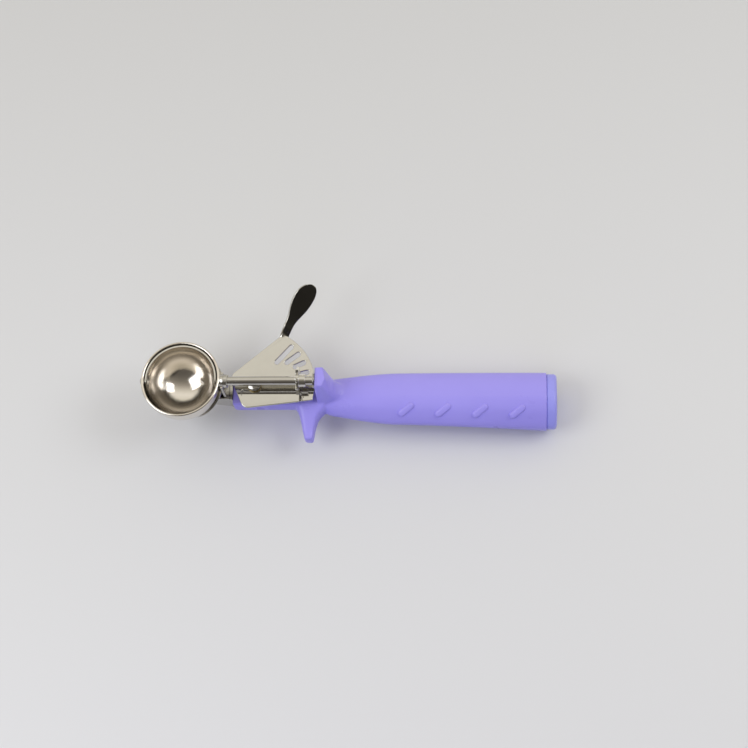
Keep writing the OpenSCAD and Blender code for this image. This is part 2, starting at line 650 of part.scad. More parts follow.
// ---- shaft clip: split ring in the shaft's groove, in front of the hilt ----
clip_mouth = groove_r * 1.6;
module shaft_clip() color(dull_steel) along_x(clip_x) difference() {
  cylinder(r = clip_r, h = clip_t);
  translate([0, 0, -1]) cylinder(r = groove_r + seat_gap, h = clip_t + 2);
  translate([0, -clip_mouth / 2, -1]) cube([clip_r + 1, clip_mouth, clip_t + 2]);
}

handle();
end_cap();
bowl();
bowl_saddle();
tang();
saddle_screws();
tang_screws();
front_bearing();
rear_bearing();
nose_rivet();
lever_pivot();
pivot_spacer();
lower_washer();
upper_washer();
torsion_spring();
thumb_lever();
scraper_shaft();
scraper_blade();
pinion();
pinion_pin();
shaft_clip();
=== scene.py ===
from math import asin, atan2, copysign, cos, hypot, pi, radians, sin, sqrt, tan

import bmesh
import bpy
import numpy as np
from mathutils import Matrix, Vector


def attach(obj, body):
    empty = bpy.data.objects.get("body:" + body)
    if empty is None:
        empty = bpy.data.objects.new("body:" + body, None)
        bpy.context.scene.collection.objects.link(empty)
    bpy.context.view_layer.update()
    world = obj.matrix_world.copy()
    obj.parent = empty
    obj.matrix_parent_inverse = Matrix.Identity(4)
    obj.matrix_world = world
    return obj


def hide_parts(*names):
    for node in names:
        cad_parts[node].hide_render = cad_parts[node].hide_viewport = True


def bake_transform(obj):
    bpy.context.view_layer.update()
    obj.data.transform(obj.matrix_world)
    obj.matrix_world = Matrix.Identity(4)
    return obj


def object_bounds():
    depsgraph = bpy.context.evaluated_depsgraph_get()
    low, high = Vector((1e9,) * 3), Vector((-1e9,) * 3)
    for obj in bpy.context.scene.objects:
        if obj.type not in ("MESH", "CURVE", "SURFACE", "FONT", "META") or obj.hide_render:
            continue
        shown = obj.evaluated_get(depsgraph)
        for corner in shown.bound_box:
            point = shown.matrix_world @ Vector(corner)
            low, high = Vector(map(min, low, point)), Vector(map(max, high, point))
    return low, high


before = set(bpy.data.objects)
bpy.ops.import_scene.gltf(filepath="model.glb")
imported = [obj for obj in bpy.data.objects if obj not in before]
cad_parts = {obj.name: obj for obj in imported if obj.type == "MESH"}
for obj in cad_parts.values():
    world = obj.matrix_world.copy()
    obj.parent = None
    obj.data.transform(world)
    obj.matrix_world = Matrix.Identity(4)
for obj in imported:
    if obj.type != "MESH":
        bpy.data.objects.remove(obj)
solid_low, solid_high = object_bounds()
MM = 0.001

# ---- Studio ----
# A pale table in a room with a warm bright wall behind the scoop and a dim one before it, a
# softbox high at each side, and two large cards that only fill in the near side's shade.
scene = bpy.context.scene
scene.view_settings.view_transform = "Standard"


def placed(name, data):
    """A new object of some data, in the scene."""
    made = bpy.data.objects.new(name, data)
    scene.collection.objects.link(made)
    return made


camera_data = bpy.data.cameras.new("studio_camera")
camera_data.lens, camera_data.sensor_width, camera_data.clip_start = 76.9, 36, 0.05
camera = placed("studio_camera", camera_data)
camera_right = Vector((0.99625, 0.02693, -0.08219))
camera_up = Vector((0.00391, 0.93528, 0.35389))
camera_back = Vector((0.0864, -0.3529, 0.9317))
camera_place = Vector((170.738, -285.614, 759.559)) * MM
camera_turn = Matrix((camera_right, camera_up, camera_back)).transposed().to_quaternion()
camera.matrix_world = Matrix.Translation(camera_place) @ camera_turn.to_matrix().to_4x4()
scene.camera = camera


def nodes_of(tree):
    """An empty tree's node maker, add("ShaderNodeX", Socket=value), and its linker, join."""
    tree.nodes.clear()

    def add(kind, **values):
        made = tree.nodes.new(kind)
        for key, value in values.items():
            if key in made.inputs:
                made.inputs[key].default_value = value
            elif key.replace("_", " ") in made.inputs:
                made.inputs[key.replace("_", " ")].default_value = value
            else:
                setattr(made, key, value)
        return made

    def join(source, target, socket=0):
        """Links a node's first output, or one that is given, to an input of another node."""
        out = source if isinstance(source, bpy.types.NodeSocket) else source.outputs[0]
        tree.links.new(out, target.inputs[socket])

    return add, join


world = bpy.data.worlds.new("soft_room")
world.use_nodes = True
scene.world = world
add, join = nodes_of(world.node_tree)
sky_way = add("ShaderNodeTexCoord").outputs["Generated"]
sky_parts = add("ShaderNodeSeparateXYZ")
sky_side = add("ShaderNodeMapRange", From_Min=-1.0, From_Max=1.0)
sky_ramp = add("ShaderNodeValToRGB")
stops = sky_ramp.color_ramp.elements
stops[0].position, stops[0].color = 0.0, (0.10, 0.09, 0.08, 1)
stops[1].position, stops[1].color = 1.0, (0.56, 0.53, 0.45, 1)
front_to_back = ((0.2, (0.14, 0.128, 0.11)), (0.35, (0.25, 0.23, 0.195)), (0.45, (0.42, 0.385, 0.33)),
                 (0.52, (0.60, 0.565, 0.49)), (0.62, (0.84, 0.80, 0.71)), (0.70, (0.97, 0.93, 0.84)),
                 (0.80, (0.86, 0.82, 0.71)))
for place, tone in front_to_back:
    stops.new(place).color = (*tone, 1)
DOORWAY = (0.64, -0.75, 0.16)      # where a dark doorway stands, low at the front right
toward = add("ShaderNodeVectorMath", operation="DOT_PRODUCT")
toward.inputs[1].default_value = DOORWAY
dim = add("ShaderNodeMapRange", interpolation_type="SMOOTHSTEP", From_Min=0.83, From_Max=0.93,
          To_Min=1.0, To_Max=0.2)
join(sky_way, toward)
join(toward.outputs["Value"], dim, "Value")
room_light = add("ShaderNodeBackground")
join(sky_way, sky_parts)
join(sky_parts.outputs["Y"], sky_side, "Value")
join(sky_side, sky_ramp, "Fac")
join(sky_ramp.outputs["Color"], room_light, "Color")
join(dim, room_light, "Strength")
join(room_light, add("ShaderNodeOutputWorld"), "Surface")


SCOOP_MIDDLE = Vector((40, 0, -10)) * MM


def softbox(name, place, size, watts, tone):
    """A square lamp that looks at the middle of the scoop. Places are in millimetres."""
    light = bpy.data.lights.new(name, "AREA")
    light.shape = "SQUARE"
    light.size, light.energy, light.color = size * MM, watts, tone
    lamp = placed(name, light)
    here = Vector(place) * MM
    turn = (here - SCOOP_MIDDLE).to_track_quat("Z", "Y")
    lamp.matrix_world = Matrix.Translation(here) @ turn.to_matrix().to_4x4()
    return lamp


softbox("softbox_left", (-570, -260, 765), 620, 4.3, (0.95, 0.97, 1.0))
softbox("softbox_right", (750, 90, 645), 440, 2.4, (0.95, 0.97, 1.0))
for card in (softbox("bounce_card", (150, -640, 800), 700, 1.4, (0.90, 0.93, 1.0)),
             softbox("blue_card", (60, -680, 160), 500, 0.9, (0.42, 0.46, 1.0))):
    card.visible_glossy = False


def new_piece(name, points, faces):
    """A mesh object from points in millimetres."""
    mesh = bpy.data.meshes.new(name)
    mesh.from_pydata([Vector(p) * MM for p in points], [], faces)
    return placed(name, mesh)


TABLE_REACH, TABLE_GAP = 20000, 0.2
table_z = solid_low.z / MM - TABLE_GAP
table = new_piece("table", [(x * TABLE_REACH, y * TABLE_REACH, table_z)
                            for x, y in ((-1, -1), (1, -1), (1, 1), (-1, 1))], [(0, 1, 2, 3)])


def new_paint(name, **values):
    """A material with one Principled shader. Gives it, its node tools and the shader."""
    paint = bpy.data.materials.new(name)
    paint.use_nodes = True
    add, join = nodes_of(paint.node_tree)
    coat = add("ShaderNodeBsdfPrincipled", **values)
    join(coat, add("ShaderNodeOutputMaterial"), "Surface")
    return paint, add, join, coat


table.data.materials.append(new_paint("pale_table", Base_Color=(0.66, 0.665, 0.68, 1), Roughness=0.5)[0])

# ---- Handle ----
# One injection moulding in satin lilac plastic: a round-bellied arm, an upright hilt with a
# slanted crest, a finger guard, and a hollow oval grip with four raised ribs.
AXIS_Z = -3.9          # height of the scraper shaft
DECK_Z = -16.4         # top of the arm
ARM_FRONT, HILT_X, GRIP_X, BUTT_X = 24.82, 69.7, 76.3, 188.2
GRIP_LEN = BUTT_X - GRIP_X


def mix(a, b, t):
    return a + (b - a) * t


def ease(t):
    t = min(1.0, max(0.0, t))
    return t * t * (3 - 2 * t)


def outward(mesh, gap=0.0):
    """Joins points that are closer than gap, and turns every face outwards."""
    shape = bmesh.new()
    shape.from_mesh(mesh)
    if gap:
        bmesh.ops.remove_doubles(shape, verts=shape.verts, dist=gap * MM)
    bmesh.ops.recalc_face_normals(shape, faces=shape.faces)
    shape.to_mesh(mesh)
    shape.free()


def skin(name, rings):
    """A closed tube over rings of points, with a fan over each end."""
    count, turns = len(rings[0]), len(rings)
    points = [p for ring in rings for p in ring]
    faces = [(j * count + i, j * count + (i + 1) % count, (j + 1) * count + (i + 1) % count,
              (j + 1) * count + i) for j in range(turns - 1) for i in range(count)]
    for ring, first, flip in ((rings[0], 0, True), (rings[-1], (turns - 1) * count, False)):
        points.append(tuple(np.mean(np.array(ring), axis=0)))
        middle = len(points) - 1
        for i in range(count):
            pair = (first + i, first + (i + 1) % count)
            faces.append((middle, pair[1], pair[0]) if flip else (middle, *pair))
    made = new_piece(name, points, faces)
    outward(made.data)
    return made


def plain_mesh(piece):
    """The mesh that a piece's modifiers or its curve give."""
    graph = bpy.context.evaluated_depsgraph_get()
    graph.update()
    return bpy.data.meshes.new_from_object(piece.evaluated_get(graph), depsgraph=graph)


def settle(piece):
    """Turns a piece's modifiers into plain mesh."""
    mesh = plain_mesh(piece)
    piece.modifiers.clear()
    piece.data = mesh
    return piece


def shaped(piece, how, *tools):
    """Adds tools to a piece ("UNION") or cuts them out of it ("DIFFERENCE")."""
    for tool in tools:
        step = piece.modifiers.new(how, "BOOLEAN")
        step.operation, step.object, step.solver = how, tool, "MANIFOLD"
    settle(piece)
    for tool in tools:
        bpy.data.objects.remove(tool)
    return piece


# Squareness of the ovals, what a ridge adds to it on the finger and the thumb side, and the
# distance by which the ridge leans to the fingers.
OVAL_POWER, RIDGE_FINGER, RIDGE_THUMB, RIDGE_LEAN = 0.88, 0.32, -0.05, 1.1


def oval(x, y, z, half_w, half_t, power=OVAL_POWER, count=96, ridge=0.0):
    """One ring, a little squarer than an ellipse. ridge draws its top to a soft edge."""
    ring = []
    for i in range(count):
        a = 2 * pi * i / count
        bend = power
        if a < pi:
            bend += ridge * (RIDGE_FINGER if a > pi / 2 else RIDGE_THUMB)
        across = copysign(abs(cos(a)) ** bend, cos(a))
        up = copysign(abs(sin(a)) ** bend, sin(a))
        lean = RIDGE_LEAN * ridge * ease((up - 0.5) / 0.5)
        ring.append((x, y + half_w * across - lean, z + half_t * up))
    return ring


# The grip at its neck, its waist and its butt. GRIP_TOP is measured from the arm's top, and
# the waist lies at share WAIST of the length.
GRIP_Y, GRIP_HALF_W = (-2.15, -2.8, -3.8), (9.65, 13.55, 14.95)
GRIP_DEPTH, GRIP_TOP = (13.8, 18.6, 26.0), (-0.5, 1.35, 2.9)
WAIST = 0.3


def grip_swell(u):
    """How far the neck has swollen into the waist at share u of the grip's length."""
    return 1 - max(0.0, 1 - u / WAIST) ** 1.45


def grip_section(u):
    """Middle and half sizes of the grip at share u of its length: y, z, half width, half depth."""
    fore, line, swell = ease(u / WAIST), max(0.0, u - WAIST) / (1 - WAIST), grip_swell(u)

    def along(sizes, rise, fall):
        neck, waist, butt = sizes
        return mix(neck, waist, rise) + (butt - waist) * fall

    half_t = along(GRIP_DEPTH, fore, line ** 1.8) / 2
    top = DECK_Z + along(GRIP_TOP, fore, line)
    return along(GRIP_Y, swell, line), top - half_t, along(GRIP_HALF_W, swell, line), half_t


def grip_ring(u, inset=0.0, count=96):
    y, z, half_w, half_t = grip_section(u)
    return oval(mix(GRIP_X, BUTT_X, u), y, z, half_w - inset, half_t - inset, count=count,
                ridge=grip_swell(u))


ARM_Y, ARM_HALF_W, ARM_LOW, ARM_BELLY, ARM_LIP = -0.55, 8.05, -29.7, 6.25, 0.9


def arm_ring(x, shrink=0.0):
    """The arm's section: a flat top with soft edges over a round belly."""
    half, belly, low, top = ARM_HALF_W - shrink, ARM_BELLY - shrink, ARM_LOW + shrink, DECK_Z - shrink
    ring = [(x, ARM_Y + half - ARM_LIP + ARM_LIP * sin(a), top - ARM_LIP + ARM_LIP * cos(a))
            for a in np.linspace(0, pi / 2, 6)]
    ring += [(x, ARM_Y + half - belly + belly * cos(a), low + belly - belly * sin(a))
             for a in np.linspace(0, pi / 2, 16)]
    return ring + [(x, 2 * ARM_Y - y, z) for x, y, z in reversed(ring)]


def hull(name, points):
    """The smallest closed form round a set of points."""
    shape = bmesh.new()
    for p in points:
        shape.verts.new(Vector(p) * MM)
    made = bmesh.ops.convex_hull(shape, input=shape.verts)
    spare = [e for e in made["geom_interior"] + made["geom_unused"] if isinstance(e, bmesh.types.BMVert)]
    bmesh.ops.delete(shape, geom=list(set(spare)), context="VERTS")
    bmesh.ops.recalc_face_normals(shape, faces=shape.faces)
    mesh = bpy.data.meshes.new(name)
    shape.to_mesh(mesh)
    shape.free()
    return placed(name, mesh)


ARM_ROUND = 1.7        # radius round the arm's front face
arm = skin("arm", [arm_ring(ARM_FRONT + ARM_ROUND * (1 - sin(a)), ARM_ROUND * (1 - cos(a)))
                   for a in np.linspace(pi / 2, 0, 9)]
           + [arm_ring(x) for x in np.linspace(ARM_FRONT + 2.4, HILT_X + 3.5, 40)])
# How far the grip's neck reaches into the arm, and its first oval there.
LEAD, LEAD_Z, LEAD_HALF_W, LEAD_HALF_T = 7, -23.4, 7.7, 6.3
neck_y, neck_z, neck_w, neck_t = grip_section(0.0)
lead = [oval(GRIP_X - LEAD * (1 - t), mix(ARM_Y, neck_y, ease(t)), mix(LEAD_Z, neck_z, t),
             mix(LEAD_HALF_W, neck_w, ease(t)), mix(LEAD_HALF_T, neck_t, ease(t)))
        for t in np.linspace(0, 1, 12, endpoint=False)]
grip = skin("grip", lead + [grip_ring(u) for u in np.linspace(0, 1, 120)])
crest = [(70.6, 5.2, 1.6), (73.7, 5.1, 1.6), (75.2, -0.6, 1.6), (73.5, -4.9, 1.6), (71.6, -4.7, 1.6),
         (HILT_X, 5.6, 0.3), (HILT_X, -5.1, -0.6), (73.9, 5.6, 0.8)]
foot = [(HILT_X + x, y, DECK_Z - deep) for deep in (0, 5)
        for x, y in ((0, -7.6), (0, 7.4), (4, -7.6), (4, 6.9), (8.9, -6.2), (8.0, 5.4))]
hilt = hull("hilt", crest + foot)
# The hollow curve between the hilt's back and the grip: its radius, and the curve's centre.
FILLET_R, FILLET_START, FILLET_X, FILLET_Z, FILLET_LOW = 8.7, 74, 86.5, -8.3, -27
fillet_rings = []
for x in np.linspace(FILLET_START, FILLET_X, 22):
    ahead = FILLET_X - max(x, FILLET_X - FILLET_R)
    top = FILLET_Z - sqrt(max(0.0, FILLET_R ** 2 - ahead ** 2))
    half_w = mix(5.8, 4.6, (x - FILLET_START) / (FILLET_X - FILLET_START))
    fillet_rings.append(oval(x, -0.9, (top + FILLET_LOW) / 2, half_w, (top - FILLET_LOW) / 2, 0.76, 64))
fillet = skin("fillet", fillet_rings)
# The guard from its root to its tip, at y: its near and its far side in x.
guard_rows = ((-3.6, 55.8, 75.2), (-7.6, 57.1, 74.8), (-9.4, 58.2, 74.0), (-11.0, 59.1, 72.4),
              (-12.8, 59.8, 70.6), (-14.9, 60.4, 69.5), (-18.0, 61.2, 68.6), (-20.9, 61.8, 68.0),
              (-23.6, 62.5, 67.7), (-25.3, 62.9, 67.5), (-26.0, 63.5, 66.9))
GUARD_ROOT, GUARD_TIP, TIP_ROUND = -8.6, -26.2, 0.7
GUARD_LOW, GUARD_HIGH = (-29.0, -28.1), (-16.6, -20.3)
guard_rings = []
for y, x_low, x_high in guard_rows:
    out = (y - GUARD_ROOT) / (GUARD_TIP - GUARD_ROOT)
    inset = TIP_ROUND if y == guard_rows[-1][0] else 0.0
    z_low, z_high = mix(*GUARD_LOW, out) + inset, mix(*GUARD_HIGH, ease(out + 0.1)) - inset
    outline = oval(0, (x_low + x_high) / 2, (z_low + z_high) / 2, (x_high - x_low) / 2,
                   (z_high - z_low) / 2, 0.5, 64)
    guard_rings.append([(x, y, z) for _, x, z in outline])
guard = skin("guard", guard_rings)


def repeated(name, piece, count, first, step, turn=0.0, turn_step=0.0, material=None):
    """A Geometry Nodes row of one piece: copy i sits at first + i * step, turned about +Z."""
    tree = bpy.data.node_groups.new(name + "_row", "GeometryNodeTree")
    inputs = []
    for label, kind, value in (("Piece", "Object", piece), ("Count", "Int", count),
                               ("First", "Vector", [v * MM for v in first]),
                               ("Step", "Vector", [v * MM for v in step]),
                               ("Turn", "Float", radians(turn)),
                               ("Turn Step", "Float", radians(turn_step)),
                               ("Finish", "Material", material)):
        socket = tree.interface.new_socket(label, in_out="INPUT", socket_type="NodeSocket" + kind)
        inputs.append((socket.identifier, value))
    tree.interface.new_socket("Geometry", in_out="OUTPUT", socket_type="NodeSocketGeometry")
    add, join = nodes_of(tree)
    given, out = add("NodeGroupInput"), add("NodeGroupOutput")
    row = add("GeometryNodeMeshLine", mode="OFFSET")
    copy_of = add("GeometryNodeObjectInfo", transform_space="ORIGINAL")
    place = add("GeometryNodeInstanceOnPoints")
    turned = add("ShaderNodeMath", operation="MULTIPLY_ADD")
    about_z = add("ShaderNodeCombineXYZ")
    real, paint = add("GeometryNodeRealizeInstances"), add("GeometryNodeSetMaterial")
    join(given.outputs["Count"], row, "Count")
    join(given.outputs["First"], row, "Start Location")
    join(given.outputs["Step"], row, "Offset")
    join(given.outputs["Piece"], copy_of, "Object")
    join(add("GeometryNodeInputIndex"), turned)
    join(given.outputs["Turn Step"], turned, 1)
    join(given.outputs["Turn"], turned, 2)
    join(turned, about_z, "Z")
    join(row.outputs["Mesh"], place, "Points")
    join(copy_of.outputs["Geometry"], place, "Instance")
    join(about_z, place, "Rotation")
    join(place, real)
    join(real, paint, "Geometry")
    join(given.outputs["Finish"], paint, "Material")
    join(paint, out)
    holder = new_piece(name, [(0, 0, 0)], [])
    step = holder.modifiers.new(name, "NODES")
    step.node_group = tree
    for identifier, value in inputs:
        step[identifier] = value
    settle(holder)
    bpy.data.objects.remove(piece)
    return holder


RIBS, RIB_START, RIB_PITCH = 4, 0.354, 19.1     # how many, share of the grip at the first, and pitch
RIB_HALF_LEN, RIB_R, RIB_TILT, RIB_ROLL, RIB_SIDE = 3.1, 1.6, 38, 32, 0.6
rib_rings = []
for height, grow in ((-2.0, 0.3), (0.0, 0.26), (0.3, 0.12), (0.62, -0.12), (0.86, -0.42), (0.98, -0.85)):
    radius = RIB_R + grow
    rib_rings.append([(end * (RIB_HALF_LEN + radius * cos(a)), end * radius * sin(a), height)
                      for end in (1, -1) for a in np.linspace(-pi / 2, pi / 2, 14)])
rib = skin("rib", rib_rings)
rib.data.transform(Matrix.Rotation(radians(RIB_ROLL), 4, "X")
                   @ Matrix.Rotation(radians(RIB_TILT), 4, "Z"))


def rib_seat(u):
    """The point on top of the grip at RIB_SIDE of its half width, towards the fingers."""
    y, _, half_w, _ = grip_section(u)
    return min(grip_ring(u, 0, 1920)[:960], key=lambda p: abs(p[1] - y + RIB_SIDE * half_w))


rib_first, rib_last = rib_seat(RIB_START), rib_seat(RIB_START + (RIBS - 1) * RIB_PITCH / GRIP_LEN)
ribs = repeated("ribs", rib, RIBS, rib_first, [(b - a) / (RIBS - 1) for a, b in zip(rib_first, rib_last)])

handle = placed("handle_moulded", bpy.data.meshes.new("handle_moulded"))
body = bmesh.new()
for part in (arm, grip, hilt, fillet, guard):
    body.from_mesh(part.data)
    bpy.data.objects.remove(part)
body.to_mesh(handle.data)
body.free()
MELT_CELL = 0.42
melt = handle.modifiers.new("melt", "REMESH")
melt.mode, melt.voxel_size = "VOXEL", MELT_CELL * MM
settle(handle)
even = handle.modifiers.new("even", "SMOOTH")
even.factor, even.iterations = 0.5, 3
settle(handle)
# The joins soften most behind the hilt's face, less along the neck and not at the crest.
melting = handle.vertex_groups.new(name="melting")
for point in handle.data.vertices:
    x, y, z = point.co / MM
    near = ease((x - 70.8) / 4) * ease((94 - x) / 8) * ease((-3 - z) / 6)
    if near > 0.01:
        melting.add([point.index], near, "REPLACE")
flow = handle.modifiers.new("flow", "SMOOTH")
flow.factor, flow.iterations, flow.vertex_group = 0.5, 34, "melting"
settle(handle)


def block(name, low, high):
    """A box between two corners."""
    return hull(name, [(x, y, z) for x in (low[0], high[0]) for y in (low[1], high[1])
                       for z in (low[2], high[2])])


def circle(count):
    """Angles of a full turn."""
    return np.linspace(0, 2 * pi, count, endpoint=False)


def turned(name, profile, start, way, count=64):
    """A lathe piece: profile is (distance along way, radius) from one end to the other."""
    along = Vector(way).normalized()
    side = along.orthogonal().normalized()
    across = along.cross(side)
    around = [side * cos(a) + across * sin(a) for a in circle(count)]
    return skin(name, [[tuple(Vector(start) + along * far + radius * out) for out in around]
                       for far, radius in profile])


def bore(name, radius, depth, start, way, count=64):
    """A plain round cutter."""
    return turned(name, [(0, radius), (depth, radius)], start, way, count)


FIT = 0.02             # gap round a piece that is fixed in its seat
WALL, HOLLOW = 2.6, 92
TANG_HALF_W, TANG_Z, TANG_T, TANG_END = 5.5, -24.6, 1.6, 65.2
POST_X, POST_R = 37.2, 2.4
BUSH_R, REAR_BUSH = 3.53, 4.6
SCREW_BORE, TANG_SCREWS = 1.22, (46.7, 60.7)
shaped(handle, "UNION", ribs)
hollow = skin("hollow", [grip_ring(u, WALL, 48) for u in np.linspace(1 - HOLLOW / GRIP_LEN, 1.01, 24)])
shaped(handle, "DIFFERENCE", hollow,
       block("tang_slot", (23, -TANG_HALF_W - FIT, TANG_Z - FIT),
             (TANG_END + FIT, TANG_HALF_W + FIT, TANG_Z + TANG_T + FIT)),
       bore("post_hole", POST_R + FIT, 9, (POST_X, 0, TANG_Z), (0, 0, 1)),
       bore("bearing_bore", BUSH_R + FIT, REAR_BUSH + 1 + FIT, (HILT_X - 1, 0, AXIS_Z), (1, 0, 0)),
       *[turned("screw_hole", [(0, SCREW_BORE), (9.5, SCREW_BORE), (10.9, 2.32)], (x, 0, -27.0), (0, 0, 1))
         for x in TANG_SCREWS])


def marks_group(name, scale_label, **noises):
    """A shader group of noises over Place. One without a scale of its own takes the group's."""
    group = bpy.data.node_groups.new(name, "ShaderNodeTree")
    for label, kind in (("Place", "Vector"), (scale_label, "Float")):
        group.interface.new_socket(label, in_out="INPUT", socket_type="NodeSocket" + kind)
    for label in noises:
        group.interface.new_socket(label, in_out="OUTPUT", socket_type="NodeSocketFloat")
    add, join = nodes_of(group)
    given, out = add("NodeGroupInput"), add("NodeGroupOutput")
    for label, values in noises.items():
        noise = add("ShaderNodeTexNoise", **values)
        join(given.outputs["Place"], noise, "Vector")
        if "Scale" not in values:
            join(given.outputs[scale_label], noise, "Scale")
        join(noise, out, label)
    return group


# Moulded plastic's surface: fine spark-eroded grain, soft mottling and handling rub.
grain_marks = marks_group("moulded_grain", "Grain Scale", Grain={"Detail": 3.0, "Roughness": 0.6},
                          Mottle={"Scale": 45.0, "Detail": 3.0, "Roughness": 0.55},
                          Rub={"Scale": 260.0, "Detail": 5.0, "Roughness": 0.7})


def plastic(name, deep, light, rough):
    """Satin moulded plastic that drifts between two close tones."""
    paint, add, join, coat = new_paint(name, IOR=1.47, Specular_IOR_Level=0.3)
    here = add("ShaderNodeTexCoord").outputs["Object"]
    grain = add("ShaderNodeGroup", node_tree=grain_marks, Grain_Scale=2600.0)
    tone = add("ShaderNodeMix", data_type="RGBA")
    tone.inputs[6].default_value, tone.inputs[7].default_value = (*deep, 1), (*light, 1)
    gloss = add("ShaderNodeMapRange", From_Min=0.3, From_Max=0.7, To_Min=rough - 0.05, To_Max=rough + 0.06)
    rub = add("ShaderNodeMapRange", From_Min=0.55, From_Max=0.72)
    worn = add("ShaderNodeMath", operation="MULTIPLY_ADD")
    worn.inputs[1].default_value = -0.03
    relief = add("ShaderNodeBump", Strength=0.12, Distance=0.00005)
    join(here, grain, "Place")
    join(grain.outputs["Mottle"], tone)
    join(tone.outputs[2], coat, "Base Color")
    join(grain.outputs["Mottle"], gloss, "Value")
    join(grain.outputs["Rub"], rub, "Value")
    join(rub, worn)
    join(gloss, worn, 2)
    join(worn, coat, "Roughness")
    join(grain.outputs["Grain"], relief, "Height")
    join(relief, coat, "Normal")
    return paint


def finish_piece(piece, material, body_name, slot, *replaced, sharp=40, flat=False):
    """Paints a finished mesh, smooths it between its edges and hangs it on its body, if it has one."""
    piece.data.materials.clear()
    piece.data.materials.append(material)
    for face in piece.data.polygons:
        face.use_smooth = True
        face.material_index = 0
    piece.data.set_sharp_from_angle(angle=radians(sharp))
    if flat:
        level = piece.modifiers.new("level", "WEIGHTED_NORMAL")
        level.mode, level.weight, level.keep_sharp = "FACE_AREA", 100, True
        settle(piece)
    if body_name:
        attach(piece, body_name)
    if replaced:
        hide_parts(*replaced)
    return piece


lilac = plastic("lilac_plastic", (0.33, 0.288, 0.815), (0.37, 0.325, 0.87), 0.31)
finish_piece(handle, lilac, "handle", "purple_plastic", "handle", sharp=50)

# ---- End cap ----
# A separate moulding in a slightly bluer batch of the same plastic. Its plug is pushed into
# the hollow grip, and its face stands a little inside the grip's edge.
cap_y, cap_z, cap_w, cap_t = grip_section(1.0)
CAP_X, CAP_LEN, CAP_ROUND, CAP_INSET, CAP_EDGE = BUTT_X + FIT, 5.2, 1.8, 0.7, 0.35
PLUG_LEN, PLUG_GAP, PLUG_WALL = 8, 0.05, 2.0


def cap_ring(x, shrink):
    return oval(x, cap_y, cap_z, cap_w - CAP_INSET - shrink, cap_t - CAP_INSET - shrink, ridge=1.0)


cap = skin("end_cap_moulded", [cap_ring(CAP_X, CAP_EDGE), cap_ring(CAP_X + CAP_EDGE, 0)]
           + [cap_ring(CAP_X + CAP_LEN - CAP_ROUND * (1 - sin(a)), CAP_ROUND * (1 - cos(a)))
              for a in np.linspace(0, pi / 2, 14)]
           + [cap_ring(CAP_X + CAP_LEN, CAP_ROUND + inward) for inward in (1.0, 3.0, 6.0)])
plug, plug_room = (
    skin(name, [grip_ring(u, inset) for u in np.linspace(first - PLUG_LEN / GRIP_LEN, last, 6)])
    for name, inset, first, last in (("plug", WALL + PLUG_GAP, 1, 1.003),
                                     ("plug_room", WALL + PLUG_GAP + PLUG_WALL, 0.99, 0.998)))
shaped(cap, "UNION", plug)
shaped(cap, "DIFFERENCE", plug_room)
cap_blue = plastic("cap_plastic", (0.308, 0.308, 0.815), (0.345, 0.345, 0.87), 0.29)
finish_piece(cap, cap_blue, "handle", "cap_plastic", "end_cap")

# ---- Bowl ----
# A hemisphere spun from stainless sheet and polished bright, with a straight lip and a bead
# rolled round its mouth. Faint lathe rings and fine rub marks stay in the polish.
BOWL_R, BOWL_IN, LIP_Z = 20.2, 19.2, -2.6
BEAD_MID, BEAD_Z, BEAD_R = 19.85, -0.7, 0.7
SPIGOT_R, RIVET_R = 2.93, 1.5


def lathed(name, profile, count=160):
    """A closed piece of revolution about +Z, from a closed outline of (radius, height)."""
    points = [(r * cos(a), r * sin(a), z) for a in circle(count) for r, z in profile]
    n = len(profile)
    faces = [(j * n + i, j * n + (i + 1) % n, (j + 1) % count * n + (i + 1) % n, (j + 1) % count * n + i)
             for j in range(count) for i in range(n)]
    made = new_piece(name, points, faces)
    outward(made.data, 0.00001)
    return made


def ball_arc(radius, angles, z=0.0):
    """Part of a lathe outline on a ball round (0, z), with angles measured from its bottom."""
    return [(radius * sin(a), z - radius * cos(a)) for a in angles]


outside = ball_arc(BOWL_R, np.linspace(0, pi / 2, 44), AXIS_Z) + [(BOWL_R, LIP_Z), (BOWL_R, -1.35)]
bead = [(BEAD_MID + BEAD_R * cos(a), BEAD_Z + BEAD_R * sin(a))
        for a in np.linspace(radians(-50), radians(210), 22)]
inside = [(BOWL_IN, -1.3), (BOWL_IN, LIP_Z)] + ball_arc(BOWL_IN, np.linspace(pi / 2, 0, 44), AXIS_Z)
bowl = lathed("bowl_spun", outside + bead + inside)
shaped(bowl, "DIFFERENCE", bore("shaft_hole", SPIGOT_R + FIT, 8, (16, 0, AXIS_Z), (1, 0, 0)),
       bore("rivet_hole", RIVET_R + FIT, 8, (-16, 0, AXIS_Z), (-1, 0, 0)))

# Polished steel's marks: stretched rub lines, slow waves in the sheet and smudges.
polish_marks = marks_group("polish_marks", "Wave Scale", Waves={"Detail": 1.0, "Roughness": 0.4},
                           Lines={"Scale": 1.0, "Detail": 4.0, "Roughness": 0.65},
                           Smudge={"Scale": 120.0, "Detail": 6.0, "Roughness": 0.62})
LINE_SCALE = 9000.0


